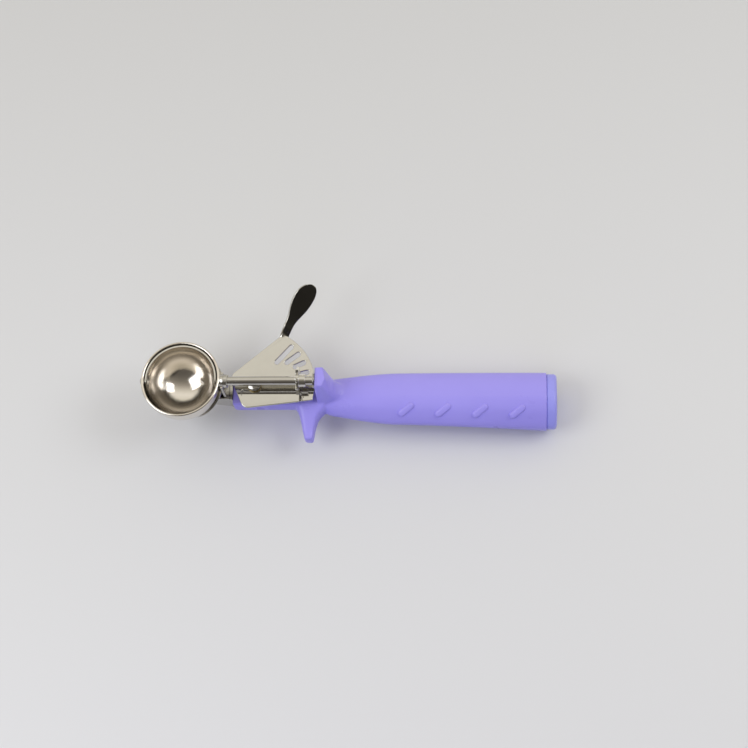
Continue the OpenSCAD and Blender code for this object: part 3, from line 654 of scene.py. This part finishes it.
def steel(name, tone, rough, stretch=(1, 1, 1), rings=False, wave=0.02, line=0.03):
    """Bright metal. stretch runs the rub lines along an axis; rings turns them round +Z."""
    paint, add, join, coat = new_paint(name, Metallic=1.0)
    here = add("ShaderNodeTexCoord").outputs["Object"]
    marks, swell = (add("ShaderNodeGroup", node_tree=polish_marks, Wave_Scale=90.0) for _ in range(2))
    if rings:
        parts, reach = add("ShaderNodeSeparateXYZ"), add("ShaderNodeVectorMath", operation="LENGTH")
        flat = add("ShaderNodeVectorMath", operation="MULTIPLY")
        flat.inputs[1].default_value = (1, 1, 0)
        lathe = add("ShaderNodeCombineXYZ")
        drawn = add("ShaderNodeVectorMath", operation="SCALE", Scale=LINE_SCALE)
        join(here, flat)
        join(flat, reach)
        join(here, parts)
        join(reach.outputs["Value"], lathe, "X")
        join(parts.outputs["Z"], lathe, "Z")
        join(lathe, drawn)
    else:
        drawn = add("ShaderNodeMapping")
        drawn.inputs["Scale"].default_value = [LINE_SCALE / s for s in stretch]
        join(here, drawn, "Vector")
    join(drawn, marks, "Place")
    join(here, swell, "Place")
    gloss = add("ShaderNodeMapRange", From_Min=0.3, From_Max=0.75, To_Min=rough * 0.7, To_Max=rough * 1.7)
    hue = add("ShaderNodeMix", data_type="RGBA")
    hue.inputs[6].default_value = (*[c * 0.93 for c in tone], 1)
    hue.inputs[7].default_value = (*[min(1.0, c * 1.04) for c in tone], 1)
    waves = add("ShaderNodeBump", Strength=wave, Distance=0.001)
    lines = add("ShaderNodeBump", Strength=line, Distance=0.0001)
    join(swell.outputs["Smudge"], gloss, "Value")
    join(swell.outputs["Smudge"], hue)
    join(hue.outputs[2], coat, "Base Color")
    join(gloss, coat, "Roughness")
    join(swell.outputs["Waves"], waves, "Height")
    join(marks.outputs["Lines"], lines, "Height")
    join(waves, lines, "Normal")
    join(lines, coat, "Normal")
    return paint


bowl_steel = steel("bowl_polish", (0.775, 0.73, 0.672), 0.08, rings=True, wave=0.006, line=0.18)
finish_piece(bowl, bowl_steel, "handle", "bowl_steel", "bowl", sharp=35)

# ---- Bowl saddle ----
# A dished steel shield that hugs the back of the bowl and is brazed to it. Its neck reaches
# back to the tang, and a forked upright behind the bead holds the front bearing.
SADDLE_IN, SADDLE_T, SADDLE_SPAN, SADDLE_TILT = 20.22, 1.4, radians(43.4), radians(34)


def laid(piece, start, way):
    """Moves a piece that was made about +Z so that it starts at a place and points a way."""
    turn = Vector((0, 0, 1)).rotation_difference(Vector(way)).to_matrix().to_4x4()
    piece.data.transform(Matrix.Translation(Vector(start) * MM) @ turn)
    return piece


def softened(piece, width, steps=2):
    """Breaks every sharp edge of a piece."""
    brim = piece.modifiers.new("brim", "BEVEL")
    brim.width, brim.segments, brim.limit_method = width * MM, steps, "ANGLE"
    brim.angle_limit = radians(25)
    return settle(piece)


dish_mid, dish_round = SADDLE_IN + SADDLE_T / 2, SADDLE_T / 2
dish = ball_arc(SADDLE_IN + SADDLE_T, np.linspace(0, SADDLE_SPAN, 40))
dish += [(dish_mid * sin(SADDLE_SPAN) + dish_round * sin(SADDLE_SPAN + t),
          -dish_mid * cos(SADDLE_SPAN) - dish_round * cos(SADDLE_SPAN + t))
         for t in np.linspace(0.3, pi - 0.3, 7)]
dish += ball_arc(SADDLE_IN, np.linspace(SADDLE_SPAN, 0, 40))
saddle = lathed("bowl_saddle_pressed", dish)
saddle.data.transform(Matrix.Translation((0, 0, AXIS_Z * MM)) @ Matrix.Rotation(-SADDLE_TILT, 4, "Y"))
neck = softened(hull("neck", [(x, y, z) for y in (-5.2, 5.2) for x, z in
                              ((7.07, -22.99), (23.2, -28.4), (23.2, -16.6), (16.26, -16.6))]), 0.5, 3)
FORK_X = 20.6          # front of the upright, where the front bearing's collar sits
SADDLE_SCREW_Y, SADDLE_SCREW_Z = 3, -20.5
upright = softened(block("upright", (FORK_X, -4.53, -18.6), (21.9, 4.53, -2.9)), 0.25)
neck_room = lathed("neck_room", ball_arc(SADDLE_IN, np.linspace(0, pi, 80)))
neck_room.data.transform(Matrix.Translation((0, 0, AXIS_Z * MM)))
shaped(neck, "DIFFERENCE", neck_room)
shaped(saddle, "UNION", neck, upright)
shaped(saddle, "DIFFERENCE", bore("front_bore", BUSH_R + FIT, 12, (15, 0, AXIS_Z), (1, 0, 0)),
       *[bore("saddle_hole", SCREW_BORE, 6, (20.0, y, SADDLE_SCREW_Z), (1, 0, 0), 40)
         for y in (-SADDLE_SCREW_Y, SADDLE_SCREW_Y)])
stamped_steel = steel("stamped_steel", (0.56, 0.545, 0.515), 0.17, stretch=(12, 1, 1), wave=0.02, line=0.10)
finish_piece(saddle, stamped_steel, "handle", "stamped_steel", "bowl_saddle", sharp=50, flat=True)

# ---- Tang ----
# A stainless strip bent to an L. Its strap lies in the arm's slot and carries the pivot post,
# and its upright takes the saddle's screws and the spring's fixed leg.
TANG_X = 23.22         # front of the upright
WIRE_R, COIL_R, LEG_X = 0.35, 3.25, 24.0
upright = softened(block("tang_upright", (TANG_X, -TANG_HALF_W, -28.4), (24.8, TANG_HALF_W, -16.6)), 0.2)
tang = softened(block("tang_bent", (TANG_X, -TANG_HALF_W, TANG_Z),
                      (TANG_END, TANG_HALF_W, TANG_Z + TANG_T)), 0.2)
shaped(tang, "UNION", upright)
shaped(tang, "DIFFERENCE", bore("post_seat", POST_R + FIT, 4, (POST_X, 0, -26), (0, 0, 1)),
       bore("leg_seat", WIRE_R + 0.05, 3, (LEG_X, COIL_R, -17.9), (0, 0, 1), 32),
       *[bore("strap_hole", SCREW_BORE, 4, (x, 0, -26), (0, 0, 1), 40) for x in TANG_SCREWS],
       *[turned("upright_hole", [(0, SCREW_BORE), (0.82, SCREW_BORE), (1.92, 2.02), (2.4, 2.02)],
                (22.88, y, SADDLE_SCREW_Z), (1, 0, 0), 40) for y in (-SADDLE_SCREW_Y, SADDLE_SCREW_Y)])
finish_piece(tang, stamped_steel, "handle", "stamped_steel", "tang", sharp=50, flat=True)

# ---- Saddle and tang screws ----
# Two short countersunk screws hold the tang's upright to the saddle's neck, and two long ones
# hold the strap down in the arm. All four have a crosshead recess.
THREAD_R, FLAT_R, FLAT_T, CROSS_LONG, CROSS_WIDE, CROSS_DEEP = 1.18, 1.93, 1.12, 1.15, 0.24, 0.85


def screw(name, length):
    """A countersunk crosshead screw about +Z, with the face of its head at height 0."""
    made = turned(name, [(0, 0.7), (0.4, THREAD_R), (length - FLAT_T, THREAD_R), (length - 0.12, FLAT_R),
                         (length, FLAT_R - 0.05)], (0, 0, -length), (0, 0, 1), 40)
    wings = [hull("wing", [(x * s, y * s, z) for z, s in ((-CROSS_DEEP, 0.55), (0.1, 1.0))
                           for x in (-a, a) for y in (-b, b)])
             for a, b in ((CROSS_LONG, CROSS_WIDE), (CROSS_WIDE, CROSS_LONG))]
    return shaped(made, "DIFFERENCE", *wings)


screw_steel = steel("screw_steel", (0.50, 0.49, 0.47), 0.22, rings=True, wave=0.0, line=0.12)
short_screw = laid(screw("short_screw", 4.6), (0, 0, 0), (1, 0, 0))
saddle_screws = repeated("saddle_screw_pair", short_screw, 2, (24.78, -SADDLE_SCREW_Y, SADDLE_SCREW_Z),
                         (0, 2 * SADDLE_SCREW_Y, 0))
finish_piece(saddle_screws, screw_steel, "handle", "screw_steel", "saddle_screws", sharp=30)
tang_screws = repeated("tang_screw_pair", screw("long_screw", 10.6), 2, (TANG_SCREWS[0], 0, DECK_Z),
                       (TANG_SCREWS[1] - TANG_SCREWS[0], 0, 0), 20, 35)
finish_piece(tang_screws, screw_steel, "handle", "screw_steel", "tang_screws", sharp=30)

# ---- Shaft bearings ----
# Two turned bushes that the scraper shaft runs in. The front one is steel, has a collar and a
# spigot in the bowl's wall, and the rear one is brass and is pressed into the hilt.
BUSH_BORE = 2.43


def bush(name, length, spigot=0.0):
    """A turned bush about +Z with chamfered ends, and a thinner spigot in front."""
    outline = [(BUSH_BORE, -spigot + 0.15), (BUSH_BORE + 0.15, -spigot)]
    if spigot:
        outline += [(SPIGOT_R - 0.1, -spigot), (SPIGOT_R, -spigot + 0.1), (SPIGOT_R, 0)]
    outline += [(BUSH_R - 0.22, 0), (BUSH_R, 0.22), (BUSH_R, length - 0.3), (BUSH_R - 0.3, length),
                (BUSH_BORE + 0.2, length), (BUSH_BORE, length - 0.2)]
    if spigot:
        outline[6:7] = [(BUSH_R, 1.25), (BUSH_R - 0.22, 1.4), (BUSH_R - 0.22, 1.75), (BUSH_R, 1.9),
                        (BUSH_R, length - 0.3)]
    return lathed(name, outline, 96)


turned_steel = steel("turned_steel", (0.59, 0.575, 0.545), 0.14, rings=True, wave=0.0, line=0.10)
bearing_metal = steel("bearing_metal", (0.66, 0.55, 0.30), 0.18, rings=True, wave=0.0, line=0.10)
front_bush = laid(bush("front_bearing_turned", 3.6, 1.35), (FORK_X, 0, AXIS_Z), (1, 0, 0))
finish_piece(front_bush, turned_steel, "handle", "turned_steel", "front_bearing", sharp=30)
rear_bush = laid(bush("rear_bearing_turned", REAR_BUSH), (HILT_X, 0, AXIS_Z), (1, 0, 0))
finish_piece(rear_bush, bearing_metal, "handle", "bearing_brass", "rear_bearing", sharp=30)

# ---- Lever pivot ----
# A headed steel post, riveted into the tang. A spacer tube and a brass washer carry the lever
# on it, and a second washer keeps the spring's coil off the plate.


def dome_line(radius, height, steps=9):
    """Profile of a low dome: (distance from its tip, radius), from near the tip to its foot."""
    ball = (radius * radius + height * height) / (2 * height)
    reach = asin(min(1.0, radius / ball))
    return [(ball * (1 - cos(a)), ball * sin(a)) for a in np.linspace(0.02, reach, steps)]


HEAD_R, HEAD_T, POST_TOP, POST_LEN = 3.3, 0.9, -6.55, 16.95
post = turned("lever_pivot_headed", [*dome_line(HEAD_R, 0.75), (HEAD_T, HEAD_R), (HEAD_T, POST_R),
                                     (POST_LEN - 0.2, POST_R), (POST_LEN, POST_R - 0.2)],
              (POST_X, 0, POST_TOP), (0, 0, -1), 72)
finish_piece(post, turned_steel, "handle", "turned_steel", "lever_pivot", sharp=30)


def tube_ring(name, radius, low, high, brim):
    """A flat ring round the post with broken edges."""
    inner = POST_R + FIT
    outline = [(inner, low + brim), (inner + brim, low), (radius - brim, low), (radius, low + brim),
               (radius, high - brim), (radius - brim, high), (inner + brim, high), (inner, high - brim)]
    return laid(lathed(name, outline, 72), (POST_X, 0, 0), (0, 0, 1))


finish_piece(tube_ring("pivot_spacer_tube", 4.8, -16.38, -12.17, 0.15), turned_steel, "handle",
             "turned_steel", "pivot_spacer", sharp=30)
for node, radius, low in (("lower_washer", 4.8, -12.15), ("upper_washer", 3.95, -10.45)):
    finish_piece(tube_ring(node + "_punched", radius, low, low + 0.4, 0.08), bearing_metal, "handle",
                 "bearing_brass", node, sharp=30)

# ---- Nose rivet ----
# A round-headed steel rivet through the bowl's far wall. The blade's other ear swings on its
# shank, between the wall and the rivet's low inner head.
NOSE_R, NOSE_X, NOSE_LEN = 2.4, -21.85, 5.1
shank_from, shank_to = 1.6, 4.2
nose_line = [*dome_line(NOSE_R, 1.5), (shank_from, NOSE_R), (shank_from, RIVET_R), (shank_to, RIVET_R),
             (shank_to, NOSE_R), *[(NOSE_LEN - far, r) for far, r in reversed(dome_line(NOSE_R, 0.8))]]
nose = turned("nose_rivet_headed", nose_line, (NOSE_X, 0, AXIS_Z), (1, 0, 0), 56)
finish_piece(nose, turned_steel, "handle", "turned_steel", "nose_rivet", sharp=30)

# ---- Scraper blade ----
# A half ring of polished stainless strip that sweeps just inside the bowl's wall. Round ears
# at its ends are riveted to the shaft and to the nose pivot.
BLADE_OUT, BLADE_IN, BLADE_HALF, BLADE_EDGE, EAR_T = 18.85, 18.05, 3.6, 0.12, 0.8
blade_edge = []
for radius, turn in ((BLADE_OUT, 1), (BLADE_IN, -1)):
    lean = asin((BLADE_HALF - BLADE_EDGE) / radius)
    blade_edge += [(radius * cos(a), AXIS_Z + radius * sin(a))
                   for a in np.linspace(-lean * turn, lean * turn, 13)]
blade = skin("scraper_blade_bent", [[(r * cos(a), r * sin(a), z) for r, z in blade_edge]
                                    for a in np.linspace(0, pi, 97)])
ear_out = sqrt(BLADE_OUT ** 2 - BLADE_HALF ** 2)
ear_profile = [(0, BLADE_HALF - BLADE_EDGE), (BLADE_EDGE, BLADE_HALF), (EAR_T - BLADE_EDGE, BLADE_HALF),
               (EAR_T, BLADE_HALF - BLADE_EDGE)]
shaped(blade, "UNION", turned("near_ear", ear_profile, (ear_out - EAR_T, 0, AXIS_Z), (1, 0, 0), 72),
       turned("far_ear", ear_profile, (EAR_T - ear_out, 0, AXIS_Z), (-1, 0, 0), 72))
STUB_R = 1.5           # the shaft's riveted end
shaped(blade, "DIFFERENCE", bore("stub_hole", STUB_R + FIT, 4, (16.5, 0, AXIS_Z), (1, 0, 0)),
       bore("nose_hole", RIVET_R + 0.05, 4, (-16.5, 0, AXIS_Z), (-1, 0, 0)))
blade_steel = steel("blade_polish", (0.62, 0.60, 0.56), 0.09, wave=0.01, line=0.05)
finish_piece(blade, blade_steel, "scraper", "blade_steel", "scraper_blade", sharp=35)

# ---- Thumb lever ----
# Blanked from 1.2 mm stainless sheet and polished like a mirror: a sector with five slots
# that the pinion's teeth run in, and a twisted neck that ends in a thumb pad.
PLATE_R, PLATE_LOW, PLATE_T, PLATE_EDGE = 31.6, -11.7, 1.2, 0.3
LEVER_ANGLE, FLARE = radians(23.9), radians(17.1)
HEEL, HEEL_ROUND, SIDE_FAR, SIDE_NEAR = 10.0, 4.2, 12.7, 11.7


def rounded(corners):
    """A closed outline of (x, y, radius) corners, each rounded with an arc."""
    outline = []
    for i, (x, y, radius) in enumerate(corners):
        here = Vector((x, y))
        before = (Vector(corners[i - 1][:2]) - here).normalized()
        after = (Vector(corners[(i + 1) % len(corners)][:2]) - here).normalized()
        if radius <= 0:
            outline.append(tuple(here))
            continue
        half = before.angle(after) / 2
        centre = here + (before + after).normalized() * radius / sin(half)
        first = here + before * radius / tan(half) - centre
        last = here + after * radius / tan(half) - centre
        start, end = atan2(first.y, first.x), atan2(last.y, last.x)
        sweep = (end - start + pi) % (2 * pi) - pi
        outline += [(centre.x + radius * cos(a), centre.y + radius * sin(a))
                    for a in np.linspace(start, start + sweep, 12)]
    return outline


def sheet_metal(name, loops, low, thick, edge):
    """A flat plate from an outline and holes, with softly broken edges."""
    line = bpy.data.curves.new(name, "CURVE")
    line.dimensions, line.fill_mode = "2D", "BOTH"
    line.extrude, line.bevel_depth, line.bevel_resolution = (thick / 2 - edge) * MM, edge * MM, 2
    line.offset = -edge * MM
    for loop in loops:
        spline = line.splines.new("POLY")
        spline.points.add(len(loop) - 1)
        for point, (x, y) in zip(spline.points, loop):
            point.co = (x * MM, y * MM, 0, 1)
        spline.use_cyclic_u = True
    holder = placed(name, line)
    mesh = plain_mesh(holder)
    bpy.data.objects.remove(holder)
    mesh.transform(Matrix.Translation((0, 0, (low + thick / 2) * MM)))
    outward(mesh, 0.002)
    return placed(name, mesh)


def edge_side(x, out):
    """Half width of the sector at distance x along its middle line."""
    return ((SIDE_FAR if out else SIDE_NEAR) + x * sin(FLARE)) / cos(FLARE)


sector = []
for out in (False, True):
    low, high = 0.0, PLATE_R
    for _ in range(40):
        middle = (low + high) / 2
        inside = hypot(middle, edge_side(middle, out)) < PLATE_R
        low, high = (middle, high) if inside else (low, middle)
    sector.append(atan2(edge_side(low, out) * (1 if out else -1), low))
rim = [(PLATE_R * cos(a), PLATE_R * sin(a), 0) for a in np.linspace(*sector, 72)]
plate_line = rounded([(-HEEL, -edge_side(-HEEL, False), HEEL_ROUND), *rim,
                      (-HEEL, edge_side(-HEEL, True), HEEL_ROUND)])


def in_lever(points, angle=0.0):
    """Turns points from the plate's middle line to their place under the shaft."""
    c, s = cos(LEVER_ANGLE + angle), sin(LEVER_ANGLE + angle)
    return [(POST_X + x * c - y * s, x * s + y * c) for x, y in points]


def round_hole(x, y, radius, count=48):
    return [(x + radius * cos(a), y + radius * sin(a)) for a in circle(count)]


LEG_BACK = 6.3         # from the pivot to the spring's hole
SLOT_HALF, SLOT_FIRST, SLOT_PITCH, SLOT_LENGTHS = 1.25, 3.3, 11.5, (4.8, 4.8, 4.8, 7.3, 11.0)
SLOT_END = PLATE_R - 2.3 - SLOT_HALF
loops = [in_lever(plate_line), round_hole(POST_X, 0, POST_R + 0.05),
         round_hole(POST_X - LEG_BACK, -COIL_R, WIRE_R + 0.07, 24)]
for k, length in enumerate(SLOT_LENGTHS):
    pill = [(SLOT_END - far * length + end * SLOT_HALF * cos(a), end * SLOT_HALF * sin(a))
            for far, end in ((0, 1), (1, -1)) for a in np.linspace(-pi / 2, pi / 2, 16)]
    loops.append(in_lever(pill, radians(SLOT_FIRST + SLOT_PITCH * k) - LEVER_ANGLE))
lever = sheet_metal("thumb_lever_polished", loops, PLATE_LOW, PLATE_T, PLATE_EDGE)

TAB_ROOT, TAB_LEN, TAB_HALF_T, TAB_NECK, TAB_PAD = PLATE_R - 1.8, 29.6, 0.65, 5.4, 11.7
TAB_ANGLE, TAB_LEAN = radians(38.4), radians(41)
TAB_BASE, TAB_RISE, TAB_BOW, PAD_END = 2.48, 10.0, 5.9, 0.73


def tab_ring(s):
    """One section of the tab at share s of its length: a leaning strip with rounded edges."""
    tip = sqrt(max(0.0, 1 - (max(0.0, s - PAD_END) / (1 - PAD_END)) ** 2))
    half = (mix(TAB_NECK - 0.5, TAB_PAD - 0.5, ease((s - 0.24) / 0.45)) * tip + 0.5) / 2
    height = TAB_BASE + TAB_RISE * ease(s - 0.05)
    side = TAB_BOW * s * (0.49 - s)
    brim = min(0.34, half * 0.9)
    ring = []
    for cx, cy, start in ((half - brim, TAB_HALF_T - brim, 0), (brim - half, TAB_HALF_T - brim, 90),
                          (brim - half, brim - TAB_HALF_T, 180), (half - brim, brim - TAB_HALF_T, 270)):
        ring += [(cx + brim * cos(a), cy + brim * sin(a))
                 for a in np.radians(np.linspace(start, start + 90, 5))]
    c, d = cos(TAB_LEAN), sin(TAB_LEAN)
    flat = in_lever([(TAB_ROOT + s * TAB_LEN, side + px * d - py * c) for px, py in ring], TAB_ANGLE)
    root = mix(0.21, 1.0, ease((s + 0.05) / 0.25))
    return [(x, y, PLATE_LOW + (height + px * c + py * d) * root) for (x, y), (px, py) in zip(flat, ring)]


stations = [*np.linspace(0, 0.14, 18), *np.linspace(0.16, PAD_END, 40),
            *(PAD_END + 0.267 * np.sin(np.linspace(0.05, pi / 2, 30)))]     # closer to the round tip
tab = skin("tab", [tab_ring(s) for s in stations])
shaped(lever, "UNION", tab)
lever_steel = steel("lever_polish", (0.62, 0.605, 0.565), 0.06, stretch=(1, 14, 1), wave=0.012, line=0.03)
finish_piece(lever, lever_steel, "lever", "lever_steel", "thumb_lever", sharp=50, flat=True)

# ---- Scraper shaft ----
# A polished stainless rod from the bowl to the hilt. Its stub is riveted in the blade's ear,
# and a groove near the hilt takes the retaining clip.
SHAFT_X, SHAFT_R, SHAFT_LEN, STUB_END = 16.9, 2.38, 57.0, 1.95
GROOVE_R, groove_from, groove_to = 1.88, 51.65, 52.5
shaft = turned("scraper_shaft_rod", [
    (0, 0.3), (0.35, 1.6), (0.75, 2.2), (0.92, 2.3), (0.92, STUB_R), (STUB_END, STUB_R),
    (STUB_END, SHAFT_R - 0.15), (STUB_END + 0.15, SHAFT_R), (groove_from, SHAFT_R),
    (groove_from, GROOVE_R), (groove_to, GROOVE_R), (groove_to, SHAFT_R), (SHAFT_LEN - 0.25, SHAFT_R),
    (SHAFT_LEN, SHAFT_R - 0.25)], (SHAFT_X, 0, AXIS_Z), (1, 0, 0), 96)
shaft_steel = steel("shaft_polish", (0.62, 0.605, 0.58), 0.10, stretch=(20, 1, 1), wave=0.0, line=0.06)
finish_piece(shaft, shaft_steel, "scraper", "shaft_steel", "scraper_shaft", sharp=30)

# ---- Torsion spring ----
# Drawn steel wire: two and a half turns round the pivot under its head, one leg bent down
# into the tang's upright and one into a hole in the lever.
COIL_LOW, WIRE_PITCH, COIL_TURNS, BEND_R = -9.68, 0.73, 2.5, 0.9
coil_end = COIL_LOW + COIL_TURNS * WIRE_PITCH
bend = [(1 - cos(t), sin(t)) for t in np.linspace(0, pi / 2, 7)]
route = [(LEG_X, COIL_R, -17.8)] + [(LEG_X, COIL_R, z) for z in np.linspace(-17, COIL_LOW - BEND_R, 8)]
route += [(LEG_X + BEND_R * f, COIL_R, COIL_LOW - BEND_R + BEND_R * r) for f, r in bend[1:]]
route += [(x, COIL_R, COIL_LOW) for x in np.linspace(LEG_X + 1.6, POST_X - 0.5, 12)]
for t in np.linspace(0, COIL_TURNS, 140):
    a = pi / 2 - 2 * pi * t
    route.append((POST_X + COIL_R * cos(a), COIL_R * sin(a), COIL_LOW + WIRE_PITCH * t))
leg_x = POST_X - LEG_BACK
route += [(x, -COIL_R, coil_end) for x in np.linspace(POST_X - 0.5, leg_x + 1.5, 6)]
route += [(leg_x + BEND_R * (1 - r), -COIL_R, coil_end - BEND_R * f) for f, r in bend]
route += [(leg_x, -COIL_R, z) for z in np.linspace(coil_end - 1.2, PLATE_LOW + 0.2, 5)]


def wire(name, points, radius, count=14):
    """A round wire along a route of points."""
    rings, side = [], None
    for before, here, after in zip([points[0], *points], points, [*points[1:], points[-1]]):
        way = (Vector(after) - Vector(before)).normalized()
        side = way.orthogonal().normalized() if side is None else (side - way * side.dot(way)).normalized()
        across = way.cross(side)
        rings.append([tuple(Vector(here) + radius * (side * cos(a) + across * sin(a)))
                      for a in circle(count)])
    return skin(name, rings)


spring = wire("torsion_spring_wound", route, WIRE_R)
spring_steel = steel("spring_wire", (0.48, 0.465, 0.44), 0.20, wave=0.0, line=0.08)
finish_piece(spring, spring_steel, None, "spring_steel", "torsion_spring", sharp=60)
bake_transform(spring)

# ---- Pinion ----
# A toothed steel disc with a hub, cross-pinned to the shaft. Its eight tapered teeth reach
# down into the lever's slots.
PINION_X, DISC_R, DISC_T, TOOTH_TIP, TEETH, TOOTH_TURN = 60.8, 4.5, 1.4, 7.3, 8, -77.087
HUB_R, HUB_LEN, PIN_X, PIN_R = 3.5, 4.8, 63.2, 0.7
tooth = hull("tooth", [(x, y, z) for z in (-DISC_T / 2, DISC_T / 2)
                       for x, half in ((3.6, 1.34), (TOOTH_TIP, 0.45)) for y in (-half, half)])
softened(tooth, 0.12)
teeth = repeated("teeth", tooth, TEETH, (0, 0, 0), (0, 0, 0), TOOTH_TURN, 360 / TEETH)
teeth.data.transform(Matrix(((0, 0, 1, PINION_X * MM), (1, 0, 0, 0), (0, 1, 0, AXIS_Z * MM), (0, 0, 0, 1))))
pinion = turned("pinion_toothed", [
    (0, DISC_R - 0.12), (0.12, DISC_R), (DISC_T - 0.12, DISC_R), (DISC_T, DISC_R - 0.12),
    (DISC_T, HUB_R + 0.12), (DISC_T + 0.12, HUB_R), (HUB_LEN - 0.18, HUB_R), (HUB_LEN, HUB_R - 0.18)],
                (PINION_X - DISC_T / 2, 0, AXIS_Z), (1, 0, 0), 72)
shaped(pinion, "UNION", teeth)
shaped(pinion, "DIFFERENCE",
       bore("pinion_bore", SHAFT_R + FIT, 7, (PINION_X - 2, 0, AXIS_Z), (1, 0, 0), 72),
       bore("pin_hole", PIN_R + FIT, 9, (PIN_X, -4.5, AXIS_Z), (0, 1, 0), 32))
pinion_steel = steel("pinion_steel", (0.68, 0.665, 0.63), 0.15, wave=0.0, line=0.06)
finish_piece(pinion, pinion_steel, "scraper", "turned_steel", "pinion", sharp=50, flat=True)
cross_pin = turned("pinion_pin_turned", [(0, PIN_R - 0.15), (0.12, PIN_R), (6.88, PIN_R),
                                         (7.0, PIN_R - 0.15)], (PIN_X, -3.5, AXIS_Z), (0, 1, 0), 32)
finish_piece(cross_pin, turned_steel, "scraper", "turned_steel", "pinion_pin", sharp=30)

# ---- Shaft clip ----
# A blanked spring-steel ring, snapped into the shaft's groove in front of the hilt. Three
# inner lobes grip the groove, and its mouth is open.
CLIP_X, CLIP_T, CLIP_R, CLIP_MOUTH = 68.6, 0.8, 4.1, 1.504
CLIP_IN, CLIP_GAP = GROOVE_R + FIT, 0.75


def clip_bore(a):
    """Inner radius of the clip at angle a: it grips at the back and beside the mouth."""
    back = ease((abs(a - pi) - 0.35) / 0.25)
    jaw = ease((min(a, 2 * pi - a) - 1.25) / 0.25)
    return CLIP_IN + CLIP_GAP * min(back, jaw)


mouth_out, mouth_in = asin(CLIP_MOUTH / CLIP_R), asin(CLIP_MOUTH / CLIP_IN)
clip_line = [(CLIP_R * cos(a), CLIP_R * sin(a))
             for a in np.linspace(mouth_out, 2 * pi - mouth_out, 64)]
clip_line += [(clip_bore(a) * cos(a), clip_bore(a) * sin(a))
              for a in np.linspace(2 * pi - mouth_in, mouth_in, 64)]
clip = sheet_metal("shaft_clip_blanked", [clip_line], 0, CLIP_T, 0.08)
clip.data.transform(Matrix(((0, 0, 1, CLIP_X * MM), (0, 1, 0, 0), (-1, 0, 0, AXIS_Z * MM), (0, 0, 0, 1))))
finish_piece(clip, spring_steel, "scraper", "spring_steel", "shaft_clip", sharp=50, flat=True)
